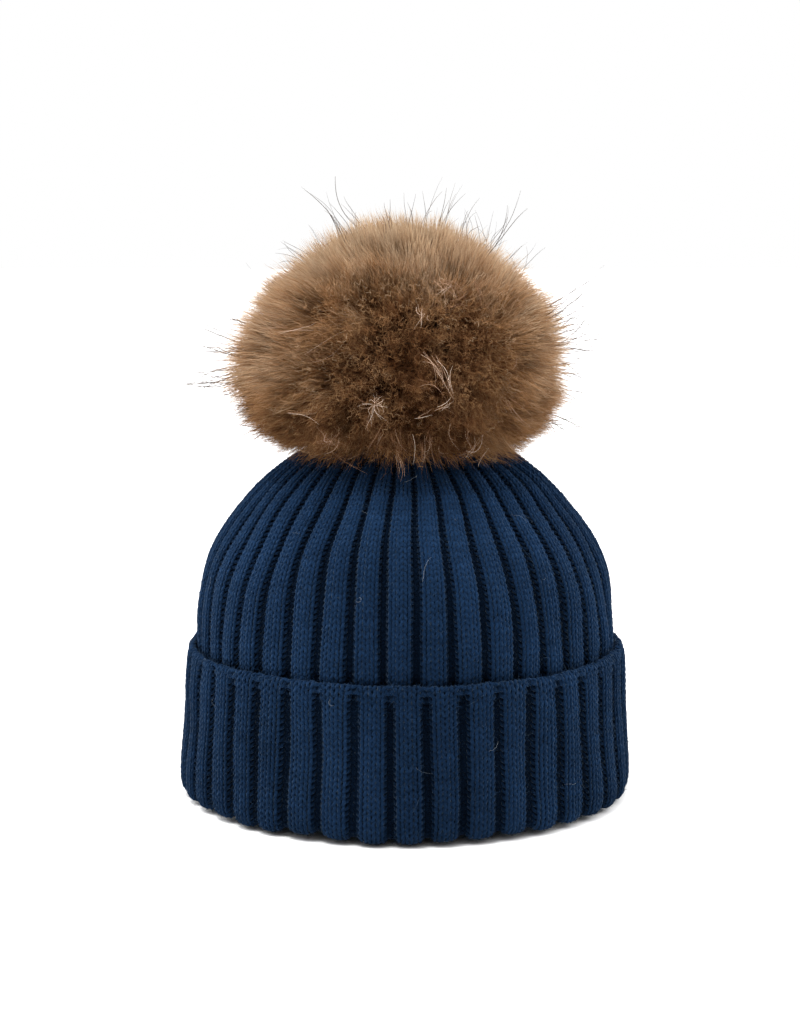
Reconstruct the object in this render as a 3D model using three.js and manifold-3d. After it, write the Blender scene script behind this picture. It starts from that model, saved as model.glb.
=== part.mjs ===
// Pom pom beanie: a wide-rib knitted hat with a turned-up cuff and a real-hair pompom that
// snaps on to the crown. Millimetres, +Z up. The origin is the centre of the plane that the
// folded edge of the cuff rests on. The back seam is on the +Y side.
import * as THREE from "three";
import { mergeVertices } from "three/addons/utils/BufferGeometryUtils.js";
import Module from "manifold-3d";

const wasm = await Module();
wasm.setup();

// ---- Shared dimensions --------------------------------------------------------------------
const RIBS = 40; // raised ribs round the hat
const RIB_DEPTH = 1.5; // how far the valleys between ribs sit below the ribs
const KNIT = 3.0; // thickness of the crown's knitted wall
const CROWN_TOP = 152.0; // height of the gathered crown
const AIR = 0.3; // gap left between neighbouring solids

const SNAP_R = 7.5; // flanges of both halves of the press stud
const FLANGE = 0.6; // thickness of those flanges
const SNAP_SIDES = 24;

const THREAD = 0.35; // radius of the sewing thread
const THREAD_SIDES = 5;
const HOLE_R = 0.75; // hole that a thread passes through
const HOLE_SIDES = 8;
const STUD_STITCH_R = 5.3; // ring of stitch holes in the stud's flange
const SOCKET_STITCH_R = 5.9; // the same in the socket's flange
const OUTER_STITCH_R = 8.8; // ring of stitch holes just outside either flange
const STITCH_ANGLES = [1, 3, 5, 7].map((eighth) => (eighth * Math.PI) / 4);

// ---- Stack of heights on the crown, from the bottom up ------------------------------------
const PATCH_TOP = CROWN_TOP - KNIT - AIR;
const PATCH_T = 1.5;
const PATCH_Z = PATCH_TOP - PATCH_T;
const STUD_Z = CROWN_TOP + AIR; // underside of the stud's flange
const SOCKET_Z = CROWN_TOP + 1.3; // mouth of the socket
const SOCKET_FLANGE_Z = CROWN_TOP + 4.4; // underside of the socket's flange
const PELT_Z = SOCKET_FLANGE_Z + FLANGE + AIR; // flat underside of the skin
const PELT = 1.2; // thickness of the leather skin under the hair
const PELT_FLOOR = PELT_Z + PELT; // upper face of the skin's flat underside

// ---- Profiles: lists of [radius, height] --------------------------------------------------
const closed = (profile) => [...profile, profile[0]];
const reversed = (profile) => [...profile].reverse();
const raised = (profile, dz) => profile.map(([r, z]) => [r, z + dz]);

// Moves an outside profile that runs upwards by a distance towards the inside.
function offsetPath(path, distance) {
  return path.map(([r, z], i) => {
    const before = path[Math.max(0, i - 1)];
    const after = path[Math.min(path.length - 1, i + 1)];
    const inward = new THREE.Vector2(before[1] - after[1], after[0] - before[0]).normalize();
    return [r + inward.x * distance, z + inward.y * distance];
  });
}

// The same for a profile that starts on a flat underside and ends on the axis.
function shrink(path, distance) {
  const [startR, startZ] = path[0];
  const topZ = path[path.length - 1][1];
  return [
    [startR - distance * 0.35, startZ + distance],
    ...offsetPath(path, distance).slice(1, -1),
    [0, topZ - distance],
  ];
}

// ---- Geometry -----------------------------------------------------------------------------
// Turns a profile about Z. The outside goes up and the inside comes down.
function lathe(profile, segments) {
  const points = profile.map(([r, z]) => new THREE.Vector2(r, z));
  return new THREE.LatheGeometry(points, segments).rotateX(Math.PI / 2);
}

// Turns a profile of [radius, height, valley depth] and pulls every second meridian inwards
// by the valley depth, which makes the flutes of the rib knit.
function ribbedLathe(profile) {
  const geometry = lathe(profile, 2 * RIBS);
  const position = geometry.getAttribute("position");
  for (let i = 0; i < position.count; i++) {
    const meridian = Math.floor(i / profile.length);
    const [r, , depth = 0] = profile[i % profile.length];
    if (meridian % 2 === 0 || depth === 0) continue;
    const scale = (r - depth) / r;
    position.setXY(i, position.getX(i) * scale, position.getY(i) * scale);
  }
  return geometry;
}

function torus(radius, wireRadius, z, sides = 6, around = 24) {
  return new THREE.TorusGeometry(radius, wireRadius, sides, around).translate(0, 0, z);
}

function solid(geometry) {
  geometry.deleteAttribute("normal");
  geometry.deleteAttribute("uv");
  const merged = mergeVertices(geometry, 1e-4);
  return new wasm.Manifold(
    new wasm.Mesh({
      numProp: 3,
      vertProperties: new Float32Array(merged.getAttribute("position").array),
      triVerts: new Uint32Array(merged.index.array),
    }),
  );
}

function geometryOf(manifold) {
  const { vertProperties, triVerts } = manifold.getMesh();
  const geometry = new THREE.BufferGeometry();
  geometry.setAttribute("position", new THREE.BufferAttribute(new Float32Array(vertProperties), 3));
  geometry.setIndex(new THREE.BufferAttribute(new Uint32Array(triVerts), 1));
  geometry.computeVertexNormals();
  return geometry;
}

function union(solids) {
  return solids.reduce((sum, part) => sum.add(part));
}

// A round bar between two points, as a solid.
function bar(start, end, radius, sides) {
  const from = new THREE.Vector3(...start);
  const to = new THREE.Vector3(...end);
  const along = to.clone().sub(from);
  const geometry = new THREE.CylinderGeometry(radius, radius, along.length(), sides);
  const turn = new THREE.Quaternion().setFromUnitVectors(
    new THREE.Vector3(0, 1, 0),
    along.normalize(),
  );
  geometry.applyQuaternion(turn);
  geometry.translate(...from.add(to).multiplyScalar(0.5).toArray());
  return solid(geometry);
}

function polar(r, angle, z) {
  return [r * Math.cos(angle), r * Math.sin(angle), z];
}

// Cuts four upright thread holes through a shape on each of the given radii.
function pierced(geometry, radii, bottom, top) {
  const holes = STITCH_ANGLES.flatMap((angle) =>
    radii.map((r) => bar(polar(r, angle, bottom), polar(r, angle, top), HOLE_R, HOLE_SIDES)),
  );
  return geometryOf(solid(geometry).subtract(union(holes)));
}

// One stitch at each angle: over the rim of the flange, through the layers behind it, and
// joined to the others by a ring there. overZ and behindZ are the thread's centre heights.
function stitches(innerR, outerR, overZ, behindZ) {
  const END_LAP = 0.25; // how far the cross threads run past the upright ones
  const lap = Math.sign(overZ - behindZ) * THREAD * 0.8; // the same for the uprights
  const parts = [solid(torus(innerR, THREAD, behindZ, THREAD_SIDES))];
  for (const angle of STITCH_ANGLES) {
    const runs = [
      [[innerR, behindZ], [innerR, overZ + lap]],
      [[outerR, behindZ - lap], [outerR, overZ + lap]],
      [[innerR - END_LAP, overZ], [outerR + END_LAP, overZ]],
      [[innerR, behindZ], [outerR + END_LAP, behindZ]],
    ];
    for (const run of runs) {
      const [start, end] = run.map(([r, z]) => polar(r, angle, z));
      parts.push(bar(start, end, THREAD, THREAD_SIDES));
    }
  }
  return geometryOf(union(parts));
}

// ---- Materials ----------------------------------------------------------------------------
const standard = (settings) => new THREE.MeshStandardMaterial(settings);
const navyKnit = standard({ color: 0x24405f, roughness: 0.95, metalness: 0 });
const navyThread = standard({ color: 0x1b3049, roughness: 0.8, metalness: 0 });
const navyFelt = standard({ color: 0x1f3550, roughness: 1.0, metalness: 0 });
const hair = standard({ color: 0x8b6b4b, roughness: 0.9, metalness: 0 });
const leather = standard({ color: 0xc9b79c, roughness: 0.75, metalness: 0 });
const fill = standard({ color: 0xf0eee8, roughness: 1.0, metalness: 0 });
const brownThread = standard({ color: 0x4a3524, roughness: 0.8, metalness: 0 });
const nickel = standard({ color: 0xb9bcc0, roughness: 0.3, metalness: 1.0 });
const wire = standard({ color: 0xc8cacc, roughness: 0.25, metalness: 1.0 });
const ribbon = standard({ color: 0xe9e6df, roughness: 0.6, metalness: 0 });

// ---- Crown --------------------------------------------------------------------------------
const CROWN_EDGE = 4.2; // lowest edge of the inner layer, inside the fold
const CROWN_EDGE_R = 88.0;
const CROWN_R = 88.2; // radius of the crown just above the cuff
const CROWN_HOLE_R = 2.2; // opening left in the middle of the gather

// Both faces as [radius, height], from the hidden inner layer up to the gathered top.
const CROWN_OUTER = [
  [CROWN_EDGE_R, CROWN_EDGE], [CROWN_R, 66], [87.3, 79.5], [84.4, 95.5],
  [80.3, 106.5], [72.6, 117.8], [61.0, 130.5], [50.0, 139.8],
  [37.5, 146.6], [22.0, 150.9], [13.0, CROWN_TOP],
];
const CROWN_INNER = [
  [CROWN_EDGE_R - KNIT, CROWN_EDGE], [CROWN_R - KNIT, 66], [84.3, 78.6], [81.4, 94.0],
  [77.5, 104.4], [70.2, 115.0], [58.9, 127.3], [48.4, 136.1],
  [36.5, 142.5], [22.0, 147.0], [16.0, CROWN_TOP - KNIT],
];

// The flutes fade out towards the gather and stop short of it.
function crownValley(r) {
  const SMOOTH_R = 20; // no flutes inside this radius
  const FADE_R = 13; // radius where the fade would reach zero
  const FADE_LENGTH = 45;
  return r < SMOOTH_R ? 0 : RIB_DEPTH * Math.min(1, (r - FADE_R) / FADE_LENGTH);
}

function knitCrown() {
  const shell = ribbedLathe(closed([
    ...CROWN_OUTER.map(([r, z]) => [r, z, crownValley(r)]),
    [CROWN_HOLE_R, CROWN_TOP],
    [CROWN_HOLE_R, CROWN_TOP - KNIT],
    ...reversed(CROWN_INNER),
  ]));
  return pierced(shell, [STUD_STITCH_R, OUTER_STITCH_R], CROWN_TOP - KNIT - 1, CROWN_TOP + 1);
}

function gatherThread() {
  const GATHER_R = 11.2;
  const GATHER_THREAD = 0.5; // radius of the thread
  return torus(GATHER_R, GATHER_THREAD, CROWN_TOP + AIR + GATHER_THREAD, 6, 36);
}

// ---- Turned-up cuff -----------------------------------------------------------------------
const CUFF_KNIT = 3.4; // thickness of the turned-up layer
const CUFF_TOP = 63.5; // height of the cuff's free edge
const CUFF_R = 95.6; // widest radius of the cuff

// The fold lies flat at z = 0 and reaches in under the inner layer.
// Each point is [radius, height, valley depth]; points without a depth are not ribbed.
const CUFF_PROFILE = [
  [92.6, 0],
  [94.4, 1.6, RIB_DEPTH], [CUFF_R, 8.5, RIB_DEPTH], [94.5, 23, RIB_DEPTH],
  [93.4, 40, RIB_DEPTH], [92.8, 58, RIB_DEPTH], [90.9, CUFF_TOP, 0.6],
  [89.4, CUFF_TOP], [93.4 - CUFF_KNIT, 40], [94.5 - CUFF_KNIT, 23],
  [91.6, 8.5], [89.8, 3.4], [86.0, 3.4], [86.4, 0],
];

// ---- Back seam, patch and label -----------------------------------------------------------
const SEAM_T = 1.5;
const SEAM_GAP = 0.7; // from the crown's inner face

function backSeam() {
  const SEAM_W = 4.0;
  const path = CROWN_INNER.slice(0, 9); // stops short of the gather
  const near = offsetPath(path, SEAM_GAP);
  const far = offsetPath(path, SEAM_GAP + SEAM_T);
  near[0][1] = CROWN_EDGE + 1;
  far[0][1] = CROWN_EDGE + 1;
  const outline = [...near, ...reversed(far)].map(([r, z]) => new THREE.Vector2(r, z));
  // Drawn as (radius, height) and extruded: radius turns to +Y, height to +Z, depth to +X.
  const stand = new THREE.Matrix4().set(
    0, 0, 1, 0,
    1, 0, 0, 0,
    0, 1, 0, 0,
    0, 0, 0, 1,
  );
  return new THREE.ExtrudeGeometry(new THREE.Shape(outline), { depth: SEAM_W, bevelEnabled: false })
    .translate(0, 0, -SEAM_W / 2)
    .applyMatrix4(stand);
}

// Felt disc behind the gather, which backs the stitches of the stud.
function crownPatch() {
  const PATCH_R = 14.5;
  const disc = new THREE.CylinderGeometry(PATCH_R, PATCH_R, PATCH_T, 32)
    .rotateX(Math.PI / 2)
    .translate(0, 0, PATCH_TOP - PATCH_T / 2);
  return pierced(disc, [STUD_STITCH_R, OUTER_STITCH_R], PATCH_Z - 1, PATCH_TOP + 1);
}

// Upright ribbon just inside the back seam.
function careLabel() {
  const [width, thickness, height] = [22, 0.9, 36];
  const LABEL_Z = 16; // lower edge
  const LABEL_GAP = 0.6; // from the seam
  const backFace = CROWN_EDGE_R - KNIT - SEAM_GAP - SEAM_T - LABEL_GAP;
  return new THREE.BoxGeometry(width, thickness, height)
    .translate(0, backFace - thickness / 2, LABEL_Z + height / 2);
}

// ---- Press stud on the hat ----------------------------------------------------------------
function snapStud() {
  const NECK_R = 1.8;
  const HEAD_R = 2.25;
  const TIP_R = 1.3;
  const profile = [
    [0, 0], [SNAP_R, 0], [SNAP_R, FLANGE], [NECK_R + 0.5, FLANGE], [NECK_R, FLANGE + 0.5],
    [NECK_R, 2.5], [HEAD_R, 3.0], [HEAD_R, 3.3], [TIP_R, 3.9], [0, 3.9],
  ];
  const shape = lathe(raised(profile, STUD_Z), SNAP_SIDES);
  return pierced(shape, [STUD_STITCH_R], STUD_Z - 1, STUD_Z + 2);
}

function studStitches() {
  const overZ = STUD_Z + FLANGE + AIR + THREAD;
  const behindZ = PATCH_Z - AIR - THREAD;
  return stitches(STUD_STITCH_R, OUTER_STITCH_R, overZ, behindZ);
}

// ---- Press stud socket on the pompom ------------------------------------------------------
// The spring sits in a groove round the socket's bore.
const GROOVE_BOTTOM = SOCKET_Z + 0.6;
const GROOVE_TOP = SOCKET_Z + 2.0;

function snapSocket() {
  const BARREL_R = 4.4;
  const BORE_R = 2.9;
  const GROOVE_R = 3.6;
  const VENT_R = 1.2; // hole through the flange, above the bore
  const flangeTop = SOCKET_FLANGE_Z + FLANGE;
  const boreTop = SOCKET_FLANGE_Z + 0.2;
  const profile = [
    [BARREL_R, SOCKET_Z], [BARREL_R, SOCKET_FLANGE_Z], [SNAP_R, SOCKET_FLANGE_Z],
    [SNAP_R, flangeTop], [VENT_R, flangeTop], [VENT_R, boreTop], [BORE_R, boreTop],
    [BORE_R, GROOVE_TOP], [GROOVE_R, GROOVE_TOP], [GROOVE_R, GROOVE_BOTTOM],
    [BORE_R, GROOVE_BOTTOM], [BORE_R, SOCKET_Z],
  ];
  const shape = lathe(closed(profile), SNAP_SIDES);
  return pierced(shape, [SOCKET_STITCH_R], SOCKET_FLANGE_Z - 1, SOCKET_FLANGE_Z + 2);
}

function snapSpring() {
  const SPRING_R = 2.95;
  const SPRING_WIRE = 0.35; // radius of the wire
  return torus(SPRING_R, SPRING_WIRE, (GROOVE_BOTTOM + GROOVE_TOP) / 2);
}

function socketStitches() {
  const overZ = SOCKET_FLANGE_Z - AIR - THREAD;
  const behindZ = PELT_FLOOR + AIR + THREAD;
  return stitches(SOCKET_STITCH_R, OUTER_STITCH_R, overZ, behindZ);
}

// ---- Pompom -------------------------------------------------------------------------------
const PELT_SIDES = 28;
// Outside of the skin as [radius, height above its underside], up to the axis.
const PELT_OUTER = raised([
  [10, 0], [18, 2.9], [24.6, 9.4], [27.8, 18.4], [28.0, 27.6],
  [25.4, 37.4], [18.6, 46.2], [9.6, 51.4], [0, 53],
], PELT_Z);

function peltSkin() {
  const MOUTH_R = 2.8; // opening in the underside
  const profile = [
    ...reversed(shrink(PELT_OUTER, PELT)),
    [MOUTH_R, PELT_FLOOR],
    [MOUTH_R, PELT_Z],
    ...PELT_OUTER,
  ];
  const radii = [SOCKET_STITCH_R, OUTER_STITCH_R];
  return pierced(lathe(profile, PELT_SIDES), radii, PELT_Z - 1, PELT_FLOOR + 0.4);
}

function peltDrawstring() {
  const DRAWSTRING_R = 3.9;
  const CORD = 0.4; // radius of the cord
  return torus(DRAWSTRING_R, CORD, PELT_FLOOR + AIR + CORD);
}

function stuffingBall() {
  const FILL_GAP = 0.5; // from the inside of the skin
  const FILL_BASE_R = 11;
  const fillZ = PELT_FLOOR + 1.5;
  const side = shrink(PELT_OUTER, PELT + FILL_GAP).slice(1);
  return lathe([[0, fillZ], [FILL_BASE_R, fillZ], ...side], PELT_SIDES);
}

const FUR_MOUTH_R = 10.8; // opening underneath, round the press stud
const POM_R = 68.2; // radius of the hair ball
const POM_TOP = 239.5; // top of the hair ball
// Outside of the hair as [radius, height], from the opening round to the top.
const FUR_OUTER = [
  [FUR_MOUTH_R, 154.9], [22, 153.4], [36, 149.4], [45, 145.6], [50.5, 143.6], [55.8, 146.0],
  [61.5, 152.0], [65.9, 161], [68.0, 173], [POM_R, 184], [66.2, 197], [60.2, 210],
  [50.0, 221.8], [35.0, 232.2], [18.0, 238.0], [0, POM_TOP],
];

// The hair as one solid, hollow for the skin.
function furCoat() {
  const FUR_GAP = 0.6; // from the outside of the skin
  const cavity = shrink(PELT_OUTER, -FUR_GAP).slice(1);
  return lathe([...reversed(cavity), [FUR_MOUTH_R, PELT_Z - 0.9], ...FUR_OUTER], 36);
}

// ---- Assembly -----------------------------------------------------------------------------
function mesh(name, geometry, material) {
  const piece = new THREE.Mesh(geometry, material);
  piece.name = name;
  return piece;
}

const hat = new THREE.Group().add(
  mesh("knit_crown", knitCrown(), navyKnit),
  mesh("back_seam", backSeam(), navyThread),
  mesh("crown_gather_thread", gatherThread(), navyThread),
  mesh("crown_patch", crownPatch(), navyFelt),
  mesh("care_label", careLabel(), ribbon),
  mesh("hat_snap_stud", snapStud(), nickel),
  mesh("hat_snap_thread", studStitches(), navyThread),
);

const cuff = new THREE.Group().add(
  mesh("turned_cuff", ribbedLathe(closed(CUFF_PROFILE)), navyKnit),
);

const snapRing = new THREE.Group().add(mesh("snap_spring", snapSpring(), wire));

const pompom = new THREE.Group().add(
  mesh("pom_snap_socket", snapSocket(), nickel),
  mesh("pom_snap_thread", socketStitches(), brownThread),
  mesh("pelt_skin", peltSkin(), leather),
  mesh("pelt_drawstring", peltDrawstring(), brownThread),
  mesh("stuffing_ball", stuffingBall(), fill),
  mesh("fur_coat", furCoat(), hair),
);

const beanie = new THREE.Group();
beanie.name = "pom_pom_beanie";
beanie.add(hat, cuff, snapRing, pompom);
export default beanie;
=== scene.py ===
"""A ribbed navy knit hat with a turned cuff and a fur pompom held by a press stud.

The hat stands on the floor, its axis on Z and its front towards -Y, with the pompom on top.
Everything is worked out in millimetres in the CAD frame and written in metres. Angles round
the hat are counted from the front (-Y) towards +X.
"""

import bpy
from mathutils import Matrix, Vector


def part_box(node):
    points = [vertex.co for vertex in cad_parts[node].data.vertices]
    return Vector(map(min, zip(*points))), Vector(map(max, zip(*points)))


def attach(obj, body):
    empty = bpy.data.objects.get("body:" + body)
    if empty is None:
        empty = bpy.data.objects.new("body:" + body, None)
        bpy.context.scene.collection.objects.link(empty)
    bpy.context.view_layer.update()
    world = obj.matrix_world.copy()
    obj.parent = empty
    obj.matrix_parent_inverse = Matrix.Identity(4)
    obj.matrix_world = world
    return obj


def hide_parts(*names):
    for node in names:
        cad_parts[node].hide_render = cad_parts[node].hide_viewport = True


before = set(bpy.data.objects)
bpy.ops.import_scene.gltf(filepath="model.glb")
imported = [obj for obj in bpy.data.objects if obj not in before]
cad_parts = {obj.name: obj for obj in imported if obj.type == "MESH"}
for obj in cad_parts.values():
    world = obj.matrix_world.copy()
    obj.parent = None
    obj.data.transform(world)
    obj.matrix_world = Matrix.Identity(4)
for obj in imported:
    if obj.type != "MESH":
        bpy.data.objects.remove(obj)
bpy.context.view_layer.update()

import math

import bpy
import numpy as np
from mathutils import Vector

MM = 0.001
TAU = math.tau
DEG = math.pi / 180


def node_box(name):
    """The lower and upper corner of a CAD node's box."""
    low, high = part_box(name)
    return np.array(low) / MM, np.array(high) / MM


def extent(name):
    """Radius, bottom and top of a round CAD node."""
    low, high = node_box(name)
    return high[0], low[2], high[2]


CROWN_RADIUS, CROWN_BOTTOM, CROWN_TOP = extent("knit_crown")
CUFF_RADIUS = extent("turned_cuff")[0]
FUR_RADIUS, _, FUR_TOP = extent("fur_coat")
PELT_BOTTOM = extent("pelt_skin")[1]
FILL_BOTTOM = extent("stuffing_ball")[1]
PATCH_RADIUS, PATCH_BOTTOM, PATCH_TOP = extent("crown_patch")
RING_RADIUS, RING_BOTTOM, RING_TOP = extent("crown_gather_thread")
LABEL_LOW, LABEL_HIGH = node_box("care_label")

# Parts: the body each rides on, the CAD node it replaces and its material slot
CROWN_KNIT = ("hat", "knit_crown", "navy_knit")
CUFF_KNIT = ("cuff", "turned_cuff", "navy_knit")
COAT = ("pompom", "fur_coat", "long_hair")
GATHER = ("hat", "crown_gather_thread", "navy_thread")
DRAWSTRING = ("pompom", "pelt_drawstring", "brown_thread")
STUD_THREAD = ("hat", "hat_snap_thread", "navy_thread")
SOCKET_THREAD = ("pompom", "pom_snap_thread", "brown_thread")
FELT = ("hat", "crown_patch", "navy_felt")
SEAM = ("hat", "back_seam", "navy_thread")
LABEL = ("hat", "care_label", "label_ribbon")
PELT = ("pompom", "pelt_skin", "pelt_leather")
WADDING = ("pompom", "stuffing_ball", "wadding")


# ------------------------------------------------------------------------------------------
# Numbers, noise and curves
# ------------------------------------------------------------------------------------------
def rng(seed):
    return np.random.default_rng(seed)


def smooth(x):
    x = np.clip(x, 0, 1)
    return x * x * (3 - 2 * x)


def unit(vectors):
    return vectors / np.maximum(np.linalg.norm(vectors, axis=-1, keepdims=True), 1e-9)


def random_units(rand, count):
    return unit(rand.normal(size=(count, 3)))


def steps(count, start=0):
    """Places from `start` to 1 along a fibre, shaped to combine with [fibres, places, xyz]."""
    return np.linspace(start, 1, count)[None, :, None]


def around(radius, z, angle):
    radius, z, angle = np.broadcast_arrays(radius, z, angle)
    return np.stack([radius * np.sin(angle), -radius * np.cos(angle), z], -1)


def bezier(start, middle, end, along):
    return (
        (1 - along) ** 2 * start[:, None]
        + 2 * along * (1 - along) * middle[:, None]
        + along**2 * end[:, None]
    )


class Noise:
    """A smooth, repeatable 3-D noise in about -1..1: sine waves in random directions."""

    def __init__(self, seed, size, waves=9):
        rand = rng(seed)
        self.waves = random_units(rand, waves) * (TAU / size) * rand.uniform(0.6, 1.6, (waves, 1))
        self.phases = rand.uniform(0, TAU, waves)
        self.divisor = math.sqrt(waves / 2) * 1.6

    def __call__(self, points):
        total = np.zeros(points.shape[:-1])
        for wave, phase in zip(self.waves, self.phases):
            total += np.sin(points @ wave + phase)
        return total / self.divisor


class Path:
    """A cubic spline of (radius, height) by arc length, with its outward normal."""

    def __init__(self, points):
        points = np.asarray(points, float)
        knots = np.r_[0, np.cumsum(np.hypot(*np.diff(points, axis=0).T))]
        gaps, count = np.diff(knots), len(knots)
        matrix, target = np.eye(count), np.zeros((count, 2))
        for i in range(1, count - 1):
            matrix[i, i - 1 : i + 2] = gaps[i - 1], 2 * (gaps[i - 1] + gaps[i]), gaps[i]
            before = (points[i] - points[i - 1]) / gaps[i - 1]
            target[i] = 6 * ((points[i + 1] - points[i]) / gaps[i] - before)
        bend = np.linalg.solve(matrix, target)
        places = np.linspace(0, knots[-1], 2000)
        i = np.clip(np.searchsorted(knots, places, side="right") - 1, 0, count - 2)
        gap, x = gaps[i][:, None], (places - knots[i])[:, None]
        slope = (points[i + 1] - points[i]) / gap - gap * (2 * bend[i] + bend[i + 1]) / 6
        cubic = (bend[i + 1] - bend[i]) / (6 * gap)
        curve = points[i] + slope * x + bend[i] / 2 * x**2 + cubic * x**3
        self.arc = np.r_[0, np.cumsum(np.hypot(*np.diff(curve, axis=0).T))]
        self.radius, self.height = curve[:, 0], curve[:, 1]
        d_radius = np.gradient(self.radius, self.arc)
        d_height = np.gradient(self.height, self.arc)
        size = np.hypot(d_radius, d_height)
        self.out_r, self.out_z = d_height / size, -d_radius / size
        self.length = self.arc[-1]

    def at(self, arc):
        """Radius, height and the two parts of the normal at an arc length."""
        values = (self.radius, self.height, self.out_r, self.out_z)
        return (np.interp(arc, self.arc, value) for value in values)

    def arc_at_height(self, z):
        return float(np.interp(z, self.height, self.arc))

    def arc_at_radius(self, radius):
        """Arc length where the radius has come down to `radius`, on the way to the top."""
        widest = np.argmax(self.radius)
        return float(np.interp(-radius, -self.radius[widest:], self.arc[widest:]))


# ------------------------------------------------------------------------------------------
# Mesh building
# ------------------------------------------------------------------------------------------
def build(name, points, material, part, quads, tris=(), attributes=None, uv=None):
    """A smooth mesh object in the CAD frame from points and arrays of corners."""
    quads = np.asarray(quads, np.int32).reshape(-1, 4)
    tris = np.asarray(tris, np.int32).reshape(-1, 3)
    mesh = bpy.data.meshes.new(name)
    mesh.vertices.add(len(points))
    coordinates = (np.asarray(points, float) * MM).astype(np.float32)
    mesh.vertices.foreach_set("co", coordinates.ravel())
    loops = np.concatenate([quads.ravel(), tris.ravel()])
    mesh.loops.add(len(loops))
    mesh.loops.foreach_set("vertex_index", loops)
    tri_starts = len(quads) * 4 + np.arange(len(tris)) * 3
    starts = np.concatenate([np.arange(len(quads)) * 4, tri_starts])
    mesh.polygons.add(len(starts))
    mesh.polygons.foreach_set("loop_start", starts.astype(np.int32))
    mesh.update(calc_edges=True)
    mesh.shade_smooth()
    for key, values in (attributes or {}).items():
        layer = mesh.attributes.new(key, "FLOAT", "POINT")
        layer.data.foreach_set("value", np.asarray(values, np.float32).ravel())
    if uv is not None:
        layer = mesh.uv_layers.new(name="OFBake")
        layer.data.foreach_set("uv", np.asarray(uv, np.float32).ravel())
    mesh.materials.append(material)
    thing = bpy.data.objects.new(name, mesh)
    bpy.context.scene.collection.objects.link(thing)
    body, node, slot = part
    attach(thing, body)
    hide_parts(node)


def cell(index, count, cols, u, v):
    """Place (u, v) of strip `index` in a grid of strips, so each has its own patch of UV."""
    rows = -(-count // cols)
    index, u, v = np.broadcast_arrays(index, u, v)
    across = (index % cols + 0.04 + 0.92 * u) / cols
    return np.stack([across, (index // cols + 0.06 + 0.88 * v) / rows], -1)


def ring_quads(curves, rings, sides, closed):
    """Corners of quads for `curves` tubes of `rings` rings of `sides` points each."""
    first = np.arange(curves)[:, None, None] * rings * sides
    i = np.arange(rings if closed else rings - 1)[None, :, None]
    j = np.arange(sides)[None, None, :]
    here, ahead = first + i * sides, first + (i + 1) % rings * sides
    beside = (j + 1) % sides
    return np.stack([here + j, here + beside, ahead + beside, ahead + j], -1).reshape(-1, 4)


def tube_uv(curves, rings, sides, closed, cuts, cols=1):
    """UVs for the corners of reversed ring_quads: each tube is cut into `cuts` strips."""
    curve = np.arange(curves)[:, None, None, None]
    i = np.arange(rings if closed else rings - 1)[None, :, None, None]
    j = np.arange(sides)[None, None, :, None]
    ring_step, side_step = np.array([1, 1, 0, 0]), np.array([0, 1, 1, 0])
    strip = -(-i.size // cuts)
    u = (i % strip + ring_step) / strip
    index = curve * cuts + i // strip
    return cell(index, curves * cuts, cols, u, (j + side_step) / sides).reshape(-1, 2)


def tubes(lines, radii, up, sides, closed, squeeze=1.0):
    """Points of tubes round lines [K, N, 3] with radii [K, N]; up [K, N, 3] fixes the roll."""
    if closed:
        along = np.roll(lines, -1, 1) - np.roll(lines, 1, 1)
    else:
        along = np.gradient(lines, axis=1)
    along = unit(along)
    side = unit(np.cross(along, up))
    lift = np.cross(side, along)
    turn = TAU * (np.arange(sides) + 0.5) / sides
    ring = np.cos(turn)[:, None] * side[:, :, None, :]
    ring = ring + squeeze * np.sin(turn)[:, None] * lift[:, :, None, :]
    return lines[:, :, None, :] + radii[:, :, None, None] * ring, turn


def closed_tubes(name, lines, radius, up, sides, material, part):
    count, rings = lines.shape[:2]
    points, _ = tubes(lines, np.full((count, rings), radius), up, sides, True)
    quads = ring_quads(count, rings, sides, True)[:, ::-1]
    uv = tube_uv(count, rings, sides, True, 8)
    build(name, points.reshape(-1, 3), material, part, quads, uv=uv)


def open_tubes(name, lines, radii, up, sides, material, part, attributes=None):
    """Tubes with a point at each end, so every one is a closed body."""
    points, _ = tubes(lines, radii, up, sides, False)
    count, rings = lines.shape[:2]
    ends = np.stack([lines[:, 0], lines[:, -1]], 1).reshape(-1, 3)
    j, beside = np.arange(sides), (np.arange(sides) + 1) % sides
    curve = np.arange(count)[:, None]
    pole = np.broadcast_to(count * rings * sides + 2 * curve, (count, sides))
    first, last = curve * rings * sides, (curve * rings + rings - 1) * sides
    head = np.stack([pole, first + j, first + beside], -1)
    tail = np.stack([pole + 1, last + beside, last + j], -1)
    values = {}
    for key, value in (attributes or {}).items():
        value = np.broadcast_to(value, (count, rings))
        at_ends = np.stack([value[:, 0], value[:, -1]], 1)
        values[key] = np.concatenate([np.repeat(value.ravel(), sides), at_ends.ravel()])
    cols = max(1, round(math.sqrt(count / 3)))
    own = curve[:, :, None]
    fan = np.stack([np.full(sides, 0.5), j / sides, (j + 1) / sides], -1)[None]
    uv = [
        tube_uv(count, rings, sides, False, 1, cols),
        cell(own, count, cols, np.array([0, 0.04, 0.04]), fan).reshape(-1, 2),
        cell(own, count, cols, np.array([1, 0.96, 0.96]), fan[..., [0, 2, 1]]).reshape(-1, 2),
    ]
    build(
        name,
        np.concatenate([points.reshape(-1, 3), ends]),
        material,
        part,
        ring_quads(count, rings, sides, False)[:, ::-1],
        np.concatenate([head.reshape(-1, 3), tail.reshape(-1, 3)]),
        values,
        np.concatenate(uv),
    )


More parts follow.
